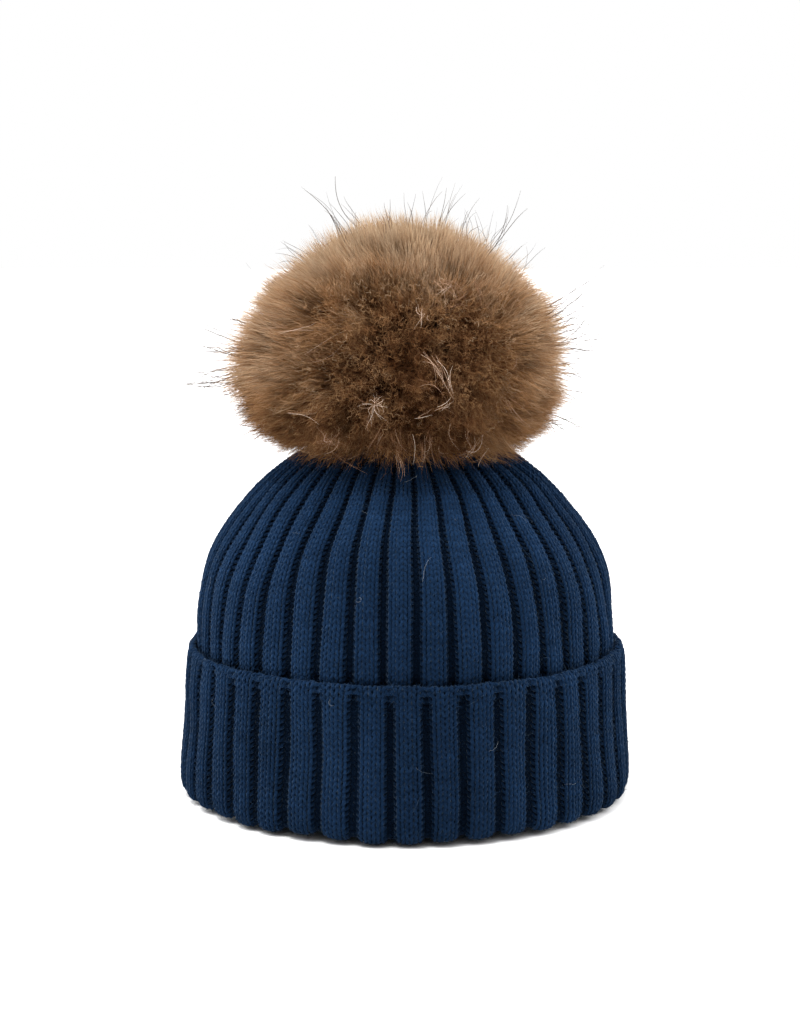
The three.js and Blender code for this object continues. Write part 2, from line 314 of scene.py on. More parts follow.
def ribbons(name, lines, widths, roll, material, part, attributes=None):
    """Flat fibres along lines [K, N, 3], widths [K, N], each ending in a point."""
    count, places = lines.shape[:2]
    along = unit(np.gradient(lines, axis=1))
    side = (unit(np.cross(along, roll[:, None, :])) * (widths[:, :, None] / 2))[:, :-1]
    both = np.stack([lines[:, :-1] - side, lines[:, :-1] + side], 2).reshape(count, -1, 3)
    points = np.concatenate([both, lines[:, -1:]], 1)
    tip = 2 * (places - 1)
    first = np.arange(count)[:, None] * (tip + 1)
    i = 2 * np.arange(places - 2)[None, :]
    quads = np.stack([first + i, first + i + 1, first + i + 3, first + i + 2], -1).reshape(-1, 4)
    tris = first + np.array([tip - 2, tip - 1, tip])
    values = {}
    for key, value in (attributes or {}).items():
        value = np.broadcast_to(value, (count, places))
        values[key] = np.concatenate([np.repeat(value[:, :-1], 2, axis=1), value[:, -1:]], 1)
    u = np.r_[np.repeat(np.arange(places - 1), 2), places - 1] / (places - 1)
    v = np.r_[np.tile([0.1, 0.9], places - 1), 0.5]
    cols = max(1, round(math.sqrt(count)))
    uv = cell(np.arange(count)[:, None], count, cols, u, v).reshape(-1, 2)
    uv = uv[np.concatenate([quads.ravel(), tris.ravel()])]
    build(name, points.reshape(-1, 3), material, part, quads, tris, values, uv)


def lathe(profile, sides):
    """Points [rows, sides, 3] of a profile of (radius, height) turned round the Z axis."""
    profile = np.asarray(profile, float)
    return around(profile[:, :1], profile[:, 1:], (np.arange(sides) / sides * TAU)[None])


def closed_lathe(name, rows, top, bottom, material, part):
    """A closed body from rings of points that run from the upper pole down the outside."""
    count, sides = rows.shape[:2]
    quads = ring_quads(1, count, sides, False)[:, [0, 3, 2, 1]]
    j, beside = np.arange(sides), (np.arange(sides) + 1) % sides
    pole, last = np.full(sides, count * sides), (count - 1) * sides
    cap = np.stack([pole, j, beside], -1)
    foot = np.stack([pole + 1, last + beside, last + j], -1)
    points = np.concatenate([rows.reshape(-1, 3), [top, bottom]])
    build(name, points, material, part, quads, np.concatenate([cap, foot]))


# ------------------------------------------------------------------------------------------
# Materials
# ------------------------------------------------------------------------------------------
class Shader:
    """A Principled material, with helpers that add shader nodes and return their outputs."""

    def __init__(self, name):
        self.material = bpy.data.materials.new(name)
        self.material.use_nodes = True
        self.tree = self.material.node_tree
        self.bsdf = next(n for n in self.tree.nodes if n.type == "BSDF_PRINCIPLED")
        self.out = next(n for n in self.tree.nodes if n.type == "OUTPUT_MATERIAL")
        self.coordinates = None

    def feed(self, socket, value):
        """Link a socket to an output, or give it a number or a colour."""
        if isinstance(value, bpy.types.NodeSocket):
            self.tree.links.new(value, socket)
        elif isinstance(value, tuple):
            socket.default_value = (*value, 1)
        else:
            socket.default_value = value

    def node(self, kind, **inputs):
        node = self.tree.nodes.new(kind)
        for key, value in inputs.items():
            self.feed(node.inputs[key], value)
        return node

    def set(self, **inputs):
        """Set inputs of the Principled shader, with _ for each space in their names."""
        for key, value in inputs.items():
            self.feed(self.bsdf.inputs[key.replace("_", " ")], value)

    def object_space(self):
        if self.coordinates is None:
            self.coordinates = self.tree.nodes.new("ShaderNodeTexCoord")
        return self.coordinates.outputs["Object"]

    def attribute(self, name):
        node = self.tree.nodes.new("ShaderNodeAttribute")
        node.attribute_name = name
        return node.outputs["Fac"]

    def noise(self, scale, detail=3, roughness=0.55):
        kind, space = "ShaderNodeTexNoise", self.object_space()
        node = self.node(kind, Vector=space, Scale=scale, Detail=detail, Roughness=roughness)
        return node.outputs["Fac"]

    def ramp(self, value, stops):
        node = self.node("ShaderNodeValToRGB", Fac=value)
        elements = node.color_ramp.elements
        while len(elements) > 1:
            elements.remove(elements[-1])
        elements[0].position, elements[0].color = stops[0][0], (*stops[0][1], 1)
        for position, colour in stops[1:]:
            elements.new(position).color = (*colour, 1)
        return node.outputs["Color"]

    def math(self, operation, *values):
        node = self.tree.nodes.new("ShaderNodeMath")
        node.operation = operation
        for socket, value in zip(node.inputs, values):
            self.feed(socket, value)
        return node.outputs[0]

    def times(self, value, factor):
        return self.math("MULTIPLY", value, factor)

    def linear(self, value, gain, offset):
        return self.math("MULTIPLY_ADD", value, gain, offset)

    def mix(self, factor, first, second, blend="MIX"):
        node = self.tree.nodes.new("ShaderNodeMix")
        node.data_type = "RGBA"
        node.blend_type = blend
        for socket, value in ((0, factor), (6, first), (7, second)):
            self.feed(node.inputs[socket], value)
        return node.outputs[2]

    def bump(self, height, strength, distance):
        """Bump of `distance` metres at full strength."""
        node = self.node("ShaderNodeBump", Strength=strength, Distance=distance, Height=height)
        self.set(Normal=node.outputs["Normal"])


def scaled(colour, factor):
    return tuple(channel * factor for channel in colour)


NAVY = (0.0052, 0.0158, 0.0405)
PLY_TWIST = 3.1  # how far the plies of the yarn turn, in radians per millimetre


def wool(name, colour, twist, sheen):
    """Fuzzy yarn: mottled dye scaled by the 'tint' attribute, which holds random tone and painted
    light and shade; plies from the yarn's own coordinates, bump and sheen.
    """
    shader = Shader(name)
    broad = shader.noise(scale=55)
    fine = shader.noise(scale=900, detail=4, roughness=0.65)
    dye = [(0.25, scaled(colour, 0.66)), (0.5, colour), (0.78, scaled(colour, 1.5))]
    warmer = scaled((colour[0] * 1.3, colour[1] * 1.12, colour[2]), 1.15)
    mottled = shader.mix(shader.times(broad, factor=0.4), shader.ramp(fine, dye), warmer)
    tinted = shader.tree.nodes.new("ShaderNodeVectorMath")
    tinted.operation = "SCALE"
    shader.feed(tinted.inputs[0], mottled)
    # the 'tint' attribute brings in random tone and painted light and shade
    shader.feed(tinted.inputs["Scale"], shader.attribute("tint"))
    shader.set(
        Base_Color=tinted.outputs[0],
        Roughness=shader.math("ADD", shader.times(fine, factor=0.12), 0.86),
        Sheen_Weight=sheen,
        Sheen_Roughness=0.35,
        Sheen_Tint=(0.7, 0.9, 1.0),
        Specular_IOR_Level=0.012,
    )
    height = shader.times(fine, factor=0.7)
    if twist:
        turn = shader.math("ARCTAN2", shader.attribute("ys"), shader.attribute("yc"))
        travel = shader.times(shader.attribute("yu"), factor=PLY_TWIST)
        ply = shader.math("SINE", shader.linear(turn, gain=2.0, offset=travel))
        height = shader.linear(ply, gain=0.22, offset=height)
    shader.bump(height, strength=0.7, distance=0.0006)
    return shader.material


def loose_fibre():
    shader = Shader("loose_fibre")
    stops = [
        (0.0, NAVY), (0.55, (0.0125, 0.027, 0.055)),
        (0.93, (0.040, 0.062, 0.092)), (1.0, (0.30, 0.33, 0.36)),
    ]
    colour = shader.ramp(shader.attribute("shade"), stops)
    shader.set(Base_Color=colour, Roughness=0.9, Specular_IOR_Level=0.05)
    return shader.material


# Hair colours from the skin (0) to the tip (1), for brown, gold and pale hairs
HAIR_PLACES = (0.0, 0.60, 0.80, 0.94, 1.0)
HAIR_BROWN = (
    (0.012, 0.0040, 0.0016), (0.028, 0.0100, 0.0038), (0.070, 0.028, 0.0105),
    (0.120, 0.053, 0.021), (0.160, 0.076, 0.032),
)
HAIR_GOLD = (
    (0.020, 0.0080, 0.0032), (0.070, 0.031, 0.0125), (0.205, 0.107, 0.047),
    (0.330, 0.186, 0.090), (0.400, 0.240, 0.125),
)
HAIR_PALE = (
    (0.030, 0.015, 0.007), (0.135, 0.084, 0.046), (0.360, 0.255, 0.162),
    (0.560, 0.435, 0.305), (0.660, 0.540, 0.400),
)


def long_hair():
    """Hair coloured from root to tip by 'along'; 'shade' runs from brown over gold to pale."""
    shader = Shader("long_hair")
    along, shade, warm = (shader.attribute(key) for key in ("along", "shade", "warm"))
    brown, gold, pale = (
        shader.ramp(along, list(zip(HAIR_PLACES, colours)))
        for colours in (HAIR_BROWN, HAIR_GOLD, HAIR_PALE)
    )
    low = shader.times(shade, factor=2.0)
    high = shader.math("SUBTRACT", shader.times(shade, factor=2.0), 1.0)
    for share in (low, high):
        share.node.use_clamp = True
    colour = shader.mix(high, shader.mix(low, brown, gold), pale)
    redder = shader.mix(1.0, colour, (1.18, 0.98, 0.76), blend="MULTIPLY")
    colour = shader.mix(shader.times(warm, factor=0.4), colour, redder)
    shader.set(Base_Color=colour, Roughness=0.7, Specular_IOR_Level=0.05)
    through = shader.node("ShaderNodeBsdfTranslucent", Color=colour)
    mix = shader.tree.nodes.new("ShaderNodeMixShader")
    translucency = 0.30
    for socket, value in enumerate((translucency, shader.bsdf.outputs[0], through.outputs[0])):
        shader.feed(mix.inputs[socket], value)
    shader.feed(shader.out.inputs["Surface"], mix.outputs[0])
    return shader.material


def hair_depth_material():
    shader = Shader("hair_depth")
    fine = shader.noise(scale=260, detail=4)
    colour = (0.030, 0.014, 0.007)
    shader.set(
        Base_Color=shader.ramp(fine, [(0.3, scaled(colour, 0.4)), (0.7, scaled(colour, 1.6))]),
        Roughness=shader.linear(shader.noise(scale=104, detail=2), gain=0.25, offset=0.83),
        Specular_IOR_Level=0.05,
    )
    shader.bump(fine, strength=0.8, distance=0.002)
    return shader.material


def guard_hair_material():
    shader = Shader("guard_hair")
    roots = [
        (0.0, (0.050, 0.025, 0.012)), (0.25, (0.085, 0.042, 0.020)),
        (0.45, (0.15, 0.075, 0.036)), (0.62, (0.34, 0.17, 0.095)),
        (0.82, (0.62, 0.41, 0.28)), (1.0, (0.88, 0.70, 0.56)),
    ]
    tips = [
        (0.0, (0.016, 0.009, 0.006)), (0.25, (0.034, 0.018, 0.011)),
        (0.5, (0.16, 0.08, 0.04)), (1.0, (0.92, 0.78, 0.66)),
    ]
    share = shader.times(shader.attribute("along"), factor=0.35)
    root, tip = (shader.ramp(shader.attribute("shade"), stops) for stops in (roots, tips))
    colour = shader.mix(share, root, tip)
    shader.set(Base_Color=colour, Roughness=0.6, Specular_IOR_Level=0.06)
    return shader.material


def thread_material(name, colour):
    """Sewing thread or cord with a fine fibrous bump."""
    shader = Shader(name)
    fine = shader.noise(scale=2600, roughness=0.6)
    dye = [(0.3, scaled(colour, 0.7)), (0.7, scaled(colour, 1.4))]
    shader.set(Base_Color=shader.ramp(fine, dye), Roughness=0.72, Specular_IOR_Level=0.2)
    shader.bump(fine, strength=0.5, distance=0.0002)
    return shader.material


def navy_felt():
    shader = Shader("navy_felt")
    fine = shader.noise(scale=1400, detail=4, roughness=0.7)
    coarse = shader.noise(scale=260)
    dye = shader.ramp(fine, [(0.3, (0.006, 0.014, 0.034)), (0.7, (0.020, 0.040, 0.080))])
    shader.set(
        Base_Color=shader.mix(shader.times(coarse, factor=0.5), dye, (0.014, 0.030, 0.066)),
        Roughness=0.95,
        Sheen_Weight=0.1,
        Specular_IOR_Level=0.05,
    )
    height = shader.math("ADD", fine, shader.times(coarse, factor=0.6))
    shader.bump(height, strength=0.8, distance=0.0006)
    return shader.material


def label_ribbon():
    """Cream ribbon with a fine plain weave."""
    warp_pitch, weft_pitch = 0.00042, 0.00036  # metres
    shader = Shader("label_ribbon")
    split = shader.node("ShaderNodeSeparateXYZ", Vector=shader.object_space())
    warp = shader.math("SINE", shader.times(split.outputs["X"], factor=TAU / warp_pitch))
    weft = shader.math("SINE", shader.times(split.outputs["Z"], factor=TAU / weft_pitch))
    weave = shader.math("MULTIPLY", warp, weft)
    fine = shader.noise(scale=500)
    dark = shader.linear(weave, gain=0.12, offset=shader.times(fine, factor=0.5))
    colour = shader.mix(dark, (0.80, 0.78, 0.73), (0.60, 0.58, 0.53))
    shader.set(Base_Color=colour, Roughness=0.5, Sheen_Weight=0.2)
    height = shader.linear(weave, gain=0.5, offset=fine)
    shader.bump(height, strength=0.35, distance=0.00012)
    return shader.material


def pelt_leather():
    shader = Shader("pelt_leather")
    grain = shader.noise(scale=700, detail=4, roughness=0.65)
    pores, broad = shader.noise(scale=2400, detail=2), shader.noise(scale=90)
    hide = shader.ramp(grain, [(0.3, (0.40, 0.28, 0.17)), (0.7, (0.64, 0.49, 0.33))])
    shader.set(
        Base_Color=shader.mix(shader.times(broad, factor=0.6), hide, (0.50, 0.36, 0.22)),
        Roughness=shader.linear(grain, gain=0.2, offset=0.6),
    )
    height = shader.linear(pores, gain=0.4, offset=grain)
    shader.bump(height, strength=0.5, distance=0.0005)
    return shader.material


def wadding_material():
    shader = Shader("wadding")
    fluffy = shader.noise(scale=900, detail=5, roughness=0.75)
    soft = shader.noise(scale=160, detail=4)
    colour = shader.ramp(fluffy, [(0.25, (0.62, 0.61, 0.58)), (0.7, (0.86, 0.85, 0.82))])
    shader.set(Base_Color=colour, Roughness=0.95, Sheen_Weight=0.3)
    shader.bump(shader.math("ADD", fluffy, soft), strength=0.9, distance=0.0015)
    return shader.material


def snap_nickel():
    shader = Shader("snap_nickel")
    fine, smear = shader.noise(scale=2200), shader.noise(scale=120, detail=4)
    polish = shader.linear(fine, gain=0.08, offset=0.14)
    shader.set(
        Base_Color=shader.ramp(smear, [(0.3, (0.50, 0.48, 0.44)), (0.7, (0.68, 0.66, 0.62))]),
        Metallic=1.0,
        Roughness=shader.linear(smear, gain=0.22, offset=polish),
    )
    height = shader.linear(fine, gain=0.6, offset=smear)
    shader.bump(height, strength=0.12, distance=0.0001)
    return shader.material


def spring_wire():
    shader = Shader("spring_wire")
    drawn, blot = shader.noise(scale=3000), shader.noise(scale=300)
    shader.set(
        Base_Color=shader.ramp(blot, [(0.3, (0.40, 0.39, 0.38)), (0.7, (0.56, 0.55, 0.53))]),
        Metallic=1.0,
        Roughness=shader.linear(drawn, gain=0.15, offset=0.22),
    )
    shader.bump(drawn, strength=0.15, distance=0.00006)
    return shader.material


WOOL = wool("navy_wool", NAVY, twist=True, sheen=0.055)
# a darker copy of the yarn for the fabric's ground, as painted shade behind the loops
WOOL_PAINTED_SHADE = wool("navy_wool_painted_shade", scaled(NAVY, 0.5), twist=False, sheen=0.01)

# ------------------------------------------------------------------------------------------
# Knit
# ------------------------------------------------------------------------------------------
RIBS = 40
PITCH = TAU / RIBS
YARN = 0.80  # half the width of the yarn as it lies in the fabric
FLAT = 0.76  # its thickness against its width
LOOP_DEPTH = 0.45  # how far a stitch's legs stand in front of its loops
WANDER = 0.0082  # how far the ribs stray sideways, in radians
COURSE = 2.4  # height of a row of stitches
GROUND = 0.45  # thickness of the sheet behind the loops
GROUND_OUT = -0.12  # its front, measured from the middle of the fabric
CROWN_VALLEY, CUFF_VALLEY = 3.2 * DEG, 5.2 * DEG  # where the first valley lies


def inset_path(radius, stations):
    return Path([(radius - inset, z) for inset, z in stations])


# Middle of the fabric's thickness, as (inset from the outer radius, height): the crown from
# its hidden lower edge to the gathered top, the crown's foot in the fold, and the cuff from
# the inside of the fold, round the bottom and up over its free edge
CROWN_PATH = inset_path(CROWN_RADIUS, [
    (2.9, CROWN_BOTTOM + 1.3), (2.3, 14), (2.2, 30), (2.1, 50), (1.8, 58), (1.25, 65),
    (1.35, 70.8), (1.9, 77.5), (2.7, 84.0), (3.8, 90.4), (5.4, 96.2), (7.9, 102.4),
    (10.8, 107.8), (14.4, 113.2), (18.8, 118.9), (23.7, 124.8), (28.5, 130.2), (34.5, 135.6),
    (42.0, 140.9), (51.5, 145.4), (62.5, 148.6), (72.0, 150.1), (79.5, CROWN_TOP - 1.6),
    (84.5, CROWN_TOP - 1.7),
])
FOOT_PATH = inset_path(CROWN_RADIUS, [
    (3.1, CROWN_BOTTOM - 1.8), (2.95, CROWN_BOTTOM + 0.6), (2.8, CROWN_BOTTOM + 3.6),
])
CUFF_PATH = inset_path(CUFF_RADIUS, [
    (8.3, 3.3), (7.5, 1.9), (5.6, 1.25), (3.6, 1.5), (2.1, 2.9), (1.35, 5.4), (1.15, 9.5),
    (1.5, 17), (2.35, 27), (3.0, 37), (3.35, 48), (3.75, 55), (4.15, 59.3), (4.75, 61.5),
    (5.55, 62.35), (6.4, 62.2), (6.85, 61.2),
])
RIM = float(CUFF_PATH.arc[np.argmax(CUFF_PATH.height)])  # arc length at the free edge's top

tension = Noise(11, 60)
wander = Noise(12, 38)
fine_noise = Noise(13, 9)
edge_noise = Noise(14, 34)
rib_noise = Noise(15, 22)
VALLEY_TOP = rng(77).uniform(-1.7, 1.9, RIBS)


def crown_depth(arc):
    full = 3.1 - 0.9 * smooth((arc - CROWN_PATH.arc_at_radius(75)) / 60)
    full = full - 1.3 * smooth((arc - CROWN_PATH.arc_at_radius(40)) / 30)
    return 1.7 + (full - 1.7) * smooth((arc - CROWN_PATH.arc_at_height(34.0)) / 22)


def crown_share(arc):
    """The valley's share of the rib pitch."""
    return 0.345 - 0.05 * smooth((arc - CROWN_PATH.arc_at_height(95)) / 50)


def cuff_depth(arc):
    return 0.12 + 2.78 * smooth((RIM + 1.4 - arc) / 6.5) * (1 - 0.25 * smooth((16 - arc) / 10))


def cuff_share(arc):
    return 0.345 * (0.62 + 0.38 * smooth((RIM - arc) / 6))


def cuff_valley(arc, angle):
    """Depth of the cuff's valleys: each runs out in an arch, at a height of its own."""
    which = np.floor((angle - CUFF_VALLEY) / PITCH + 0.5).astype(int) % RIBS
    arch = 5.0 * (1 - np.cos(RIBS * (angle - CUFF_VALLEY)))
    drift = 2.0 * edge_noise(around(250.0, 60.0, angle))
    return cuff_depth(arc + VALLEY_TOP[which] + drift + arch)


def edge_wave(arc, angle):
    """Shift of the cuff's free edge along its path: a slow wave and a scallop on each rib."""
    near_edge = smooth((arc - (RIM - 13)) / 13)
    scallop = 0.42 * np.cos(RIBS * (angle - CUFF_VALLEY))
    return near_edge * (0.85 * edge_noise(around(90.0, 0.0, angle)) - scallop)


def stray(points, radius):
    """Sideways drift of the ribs, in radians."""
    drift = wander(points * np.array([1, 1, 0.35]))
    drift = drift + 0.35 * rib_noise(points * np.array([1, 1, 0.6]))
    return WANDER * drift * np.clip(radius / 60, 0, 1)


def rib_edge(wale, wales):
    """Distance from the rib's edge, counted in wales: positive on it, negative beside it."""
    beside = -np.minimum(wale - wales, 2 * wales - wale)
    return np.where(wale > wales, beside, np.minimum(wale, wales - wale))


class Fabric:
    """Rib knit along a path, with functions of arc length for its valleys."""

    def __init__(self, part, path, valley_angle, depth, share, edge=False):
        self.part, self.path, self.valley_angle = part, path, valley_angle
        self.depth, self.share = depth, share
        self.edge = edge  # whether it is the cuff, with a free edge

    def angle(self, rib, wale, wales, share):
        on_rib, beside = wale / wales * (1 - share), (1 - share) + (wale - wales) / wales * share
        across = np.where(wale < wales, on_rib, beside)
        return self.valley_angle + PITCH * (across - (1 - share / 2) + rib)

    def lay(self, rows, angle, slide, margin, relief):
        """Lay fabric on the path, shifted by `slide` along it and `relief` outwards.

        Returns its undisturbed points, its offset from the path, a function that gives
        the points at an offset, and the outward normals.
        """
        if self.edge:
            slide = slide + edge_wave(rows, angle)
        arc = np.clip(rows + slide, margin, self.path.length - margin)
        radius, z, out_r, out_z = self.path.at(arc)
        base = around(radius, z, angle)
        angle = angle + stray(base, radius)
        offset = relief + 0.34 * tension(base) + 0.26 * rib_noise(base)
        if self.edge:
            offset = offset - 0.45 * smooth((15 - rows) / 15) * (1 + rib_noise(base + 200))

        def points_at(offset):
            return around(radius + offset * out_r, z + offset * out_z, angle)

        return base, offset, points_at, around(out_r, out_z, angle)


CROWN = Fabric(CROWN_KNIT, CROWN_PATH, CROWN_VALLEY, crown_depth, crown_share)
FOOT = Fabric(
    CROWN_KNIT, FOOT_PATH, CROWN_VALLEY, lambda arc: np.full(len(arc), 1.6), crown_share
)
CUFF = Fabric(CUFF_KNIT, CUFF_PATH, CUFF_VALLEY, cuff_depth, cuff_share, edge=True)
# the tints hold random tone and painted light and shade
KNIT_LINES = {"hat": [], "cuff": []}  # points, normals and tints of the yarn of each body


def knit_band(
    name, fabric, rows, seed, wales=3, segments=10, sides=5, loop=2.1, yarn=YARN,
    share=None, depth=None, lean=0.215,
):
    """Closed courses of interlocking stitches, each a tube of yarn.

    `rows` are the courses' arc lengths, `wales` the stitches across a rib, `segments` the
    steps in a stitch, `loop` half its height and `lean` how far its legs lean.
    """

    def per_row(value):
        return np.full(len(rows), value)[:, None]

    share = per_row(fabric.share(rows) if share is None else share)
    depth = per_row(fabric.depth(rows) if depth is None else depth)
    loop, yarn, rows = per_row(loop), per_row(yarn), rows[:, None]
    rand = rng(seed)
    period = 2 * wales
    i = np.arange(RIBS * period * segments)
    stitch, within = i // segments, (i % segments) / segments
    turn = TAU * within

    def uneven():
        own = rand.normal(size=(len(rows), RIBS * period))
        return own[:, stitch] * (1 - within) + np.roll(own, -1, 1)[:, stitch] * within

    jitter, jitter_up = uneven(), uneven()
    place = stitch + within
    wale = place % period
    inside = rib_edge(wale, wales)
    face = np.clip(inside / 0.28, -1, 1)
    leant = place + lean * np.sin(2 * turn) * (1 - 0.25 * (face < 0)) + 0.02 * jitter
    angle = fabric.angle(np.floor(leant / period), leant % period, wales, share)
    slide = -loop * np.cos(turn) + 0.12 * jitter_up
    sunk = smooth((-inside + 0.34) / 0.85)
    middle = wales / 2
    rounded = -np.clip((np.abs(wale - middle) / middle), 0, 1) ** 2 * 0.85 * (face > 0)
    rounded = rounded * np.clip(depth / 2.2, 0, 1)
    valley = cuff_valley(rows, angle) if fabric.edge else depth
    relief = -valley * sunk + rounded - face * LOOP_DEPTH * np.cos(2 * turn) + 0.06 * jitter
    base, offset, points_at, normals = fabric.lay(rows, angle, slide, 0.01, relief)
    lines = points_at(offset)
    # painted light by height: the cuff is darker and the crown lighter towards its top, as if
    # light falls from above
    painted_light_by_height = 0.90 if fabric.edge else 0.97 + 0.20 * smooth((lines[..., 2] - 95) / 50)
    tint = painted_light_by_height * (1.12 + 0.10 * jitter + 0.14 * tension(base + 500))
    # painted shade: the yarn is darker at the bottom of the valleys
    tint = tint * (1 - 0.72 * sunk * smooth(valley / 2.7))
    # painted shade between stitches, where the loops sink back
    tint = tint * (1 - 0.26 * (0.5 + 0.5 * face * np.cos(2 * turn)))

    radii = yarn * (1 + 0.05 * fine_noise(lines))
    points, side_turn = tubes(lines, radii, normals, sides, True, FLAT)
    travel = np.cumsum(np.linalg.norm(np.roll(lines, -1, 1) - lines, axis=-1), 1)
    # the plies run as one helix, so a whole number of turns closes each course
    turns = np.round(travel[:, -1:] * PLY_TWIST / TAU)
    travel = travel / travel[:, -1:] * turns * TAU / PLY_TWIST
    count, rings = lines.shape[:2]
    attributes = {
        "tint": np.repeat(tint.ravel(), sides),
        "yu": np.repeat(travel.ravel(), sides),
        "yc": np.tile(np.cos(side_turn), count * rings),
        "ys": np.tile(np.sin(side_turn), count * rings),
    }
    quads = ring_quads(count, rings, sides, True)[:, ::-1]
    uv = tube_uv(count, rings, sides, True, 5)
    part = fabric.part
    build(name, points.reshape(-1, 3), WOOL, part, quads, attributes=attributes, uv=uv)
    yarn_lines = (lines.reshape(-1, 3), normals.reshape(-1, 3), tint.ravel())
    KNIT_LINES[part[0]].append(yarn_lines)


def lay_crown():
    """The crown in bands of courses; the wales are fashioned off towards the top."""
    arc_at = CROWN_PATH.arc_at_radius
    rows = np.arange(2.2, arc_at(57), COURSE)
    hidden = rows < CROWN_PATH.arc_at_height(57.0)
    for n, band in enumerate(np.array_split(rows[hidden], 3)):
        name = f"crown_knit_low_{n}"
        knit_band(name, CROWN, band, 100 + n, segments=8, sides=4, yarn=YARN * 0.98)
    for n, band in enumerate(np.array_split(rows[~hidden], 6), 3):
        yarn = YARN * (1 - 0.10 * smooth((band - arc_at(72)) / 30))
        knit_band(f"crown_knit_{n}", CROWN, band, 100 + n, yarn=yarn)
    top = np.arange(rows[-1] + COURSE, arc_at(34), COURSE * 0.95)
    knit_band(
        "crown_knit_9", CROWN, top, 109, wales=2, segments=9, loop=2.0, yarn=YARN * 0.92,
        share=0.34,
    )
    peak = np.arange(top[-1] + COURSE * 0.9, arc_at(7.5), COURSE * 0.85)
    knit_band(
        "crown_knit_10", CROWN, peak, 110, wales=1, loop=1.9, yarn=YARN * 0.9,
        share=0.42, depth=1.0, lean=0.15,
    )


def lay_cuff():
    """The cuff round the fold, up the outside and over the free edge."""
    rows = np.arange(1.4, CUFF_PATH.length - 0.3, COURSE)
    rows = rows + (CUFF_PATH.length - 0.5 - rows[-1])
    for n, band in enumerate(np.array_split(rows, 4)):
        loop = 1.5 + 0.6 * smooth((RIM - band) / 5)
        knit_band(f"cuff_knit_{n}", CUFF, band, 200 + n, loop=loop)


def backing(name, fabric, start, end):
    """The ground of the fabric: a thin closed sheet behind the loops that follows the ribs,
    coloured darker than the yarn as painted shade.
    """
    rows = np.linspace(start, end, max(8, int((end - start) / 3.2)))
    marks = np.array([0.12, 0.8, 1.5, 2.2, 2.88, 3.5, 4.5, 5.5])  # places counted in wales
    wale = np.tile(marks, RIBS)
    rib = np.repeat(np.arange(RIBS), len(marks))
    share, depth, rows = fabric.share(rows)[:, None], fabric.depth(rows)[:, None], rows[:, None]
    angle = fabric.angle(rib, wale, 3, share)
    sunk = smooth((-rib_edge(wale, 3) + 0.34) / 0.85)
    valley = cuff_valley(rows, angle) if fabric.edge else depth
    rounded = 0.5 * np.abs(wale - 1.5).clip(0, 1.5) ** 2 / 2.25 * (wale < 3)
    relief = -valley * sunk + GROUND_OUT - rounded
    _, offset, points_at, _ = fabric.lay(rows, angle, 0.0, 0, relief)
    sheet = np.concatenate([points_at(offset), points_at(offset - GROUND)[::-1]], 0)
    count, across = sheet.shape[:2]
    i, j = np.arange(count)[:, None, None], np.arange(across)[None, :, None]
    u, v = (j + np.array([0, 1, 1, 0])) / across, (i + np.array([0, 0, 1, 1])) / count
    build(
        name, sheet.reshape(-1, 3), WOOL_PAINTED_SHADE, fabric.part,
        ring_quads(1, count, across, True),
        # a tint of 0.5 darkens the ground further, as painted shade
        attributes={"tint": np.full(count * across, 0.5)},
        uv=cell(0, 1, 1, u, v).reshape(-1, 2),
    )


lay_crown()
lay_cuff()
backing("crown_ground", CROWN, 1.2, CROWN_PATH.length - 0.3)
# the crown's foot covers the gap in the fold when the hat is drawn out of the cuff
backing("crown_foot", FOOT, 0.0, FOOT_PATH.length)
backing("cuff_ground", CUFF, 1.0, CUFF_PATH.length - 0.6)

FLUFF = loose_fibre()


def fibre_points(body, count, rand, low, high):
    """Random places on the yarn and their normals, most of them on the raised ribs."""
    points, normals, tints = (np.concatenate(column) for column in zip(*KNIT_LINES[body]))
    z = points[:, 2]
    bright = tints > 0.35 + 0.6 * rand.uniform(size=len(tints))
    usable = np.flatnonzero((z > low) & (z < high) & bright)
    pick = usable[rand.integers(0, len(usable), count)]
    return points[pick], normals[pick]


def fluff(name, part, count, seed, low=0.0, high=999.0, length=1.0):
    """The brushed surface: short curled fibres standing off the yarn."""
    count = count
    rand = rng(seed)
    foot, up = fibre_points(part[0], count, rand, low, high)
    side = random_units(rand, count)
    side = unit(side - up * np.sum(side * up, -1, keepdims=True))
    lift = rand.uniform(0.1, 0.9, (count, 1))
    aim = unit(up * lift + side * rand.uniform(0.4, 1.0, (count, 1)))
    size = np.clip(rand.lognormal(0.45, 0.45, (count, 1)), 0.8, 5.0) * length
    curl = random_units(rand, count) * rand.uniform(0.2, 0.9, (count, 1)) - up * 0.5 * lift
    along = steps(4)
    course = aim[:, None] * along + 0.5 * curl[:, None] * along**2
    lines = (foot + up * YARN * 0.5 + side * 0.2)[:, None] + size[:, None] * course
    lines[..., 2] = np.maximum(lines[..., 2], 0.35)
    taper = np.array([1, 0.95, 0.7, 0.2])[None]
    widths = 0.105 * rand.uniform(0.6, 1.2, (count, 1)) * taper
    shade = np.clip(rand.beta(2, 3.2, (count, 1)), 0, 0.95)
    ribbons(name, lines, widths, random_units(rand, count), FLUFF, part, {"shade": shade})


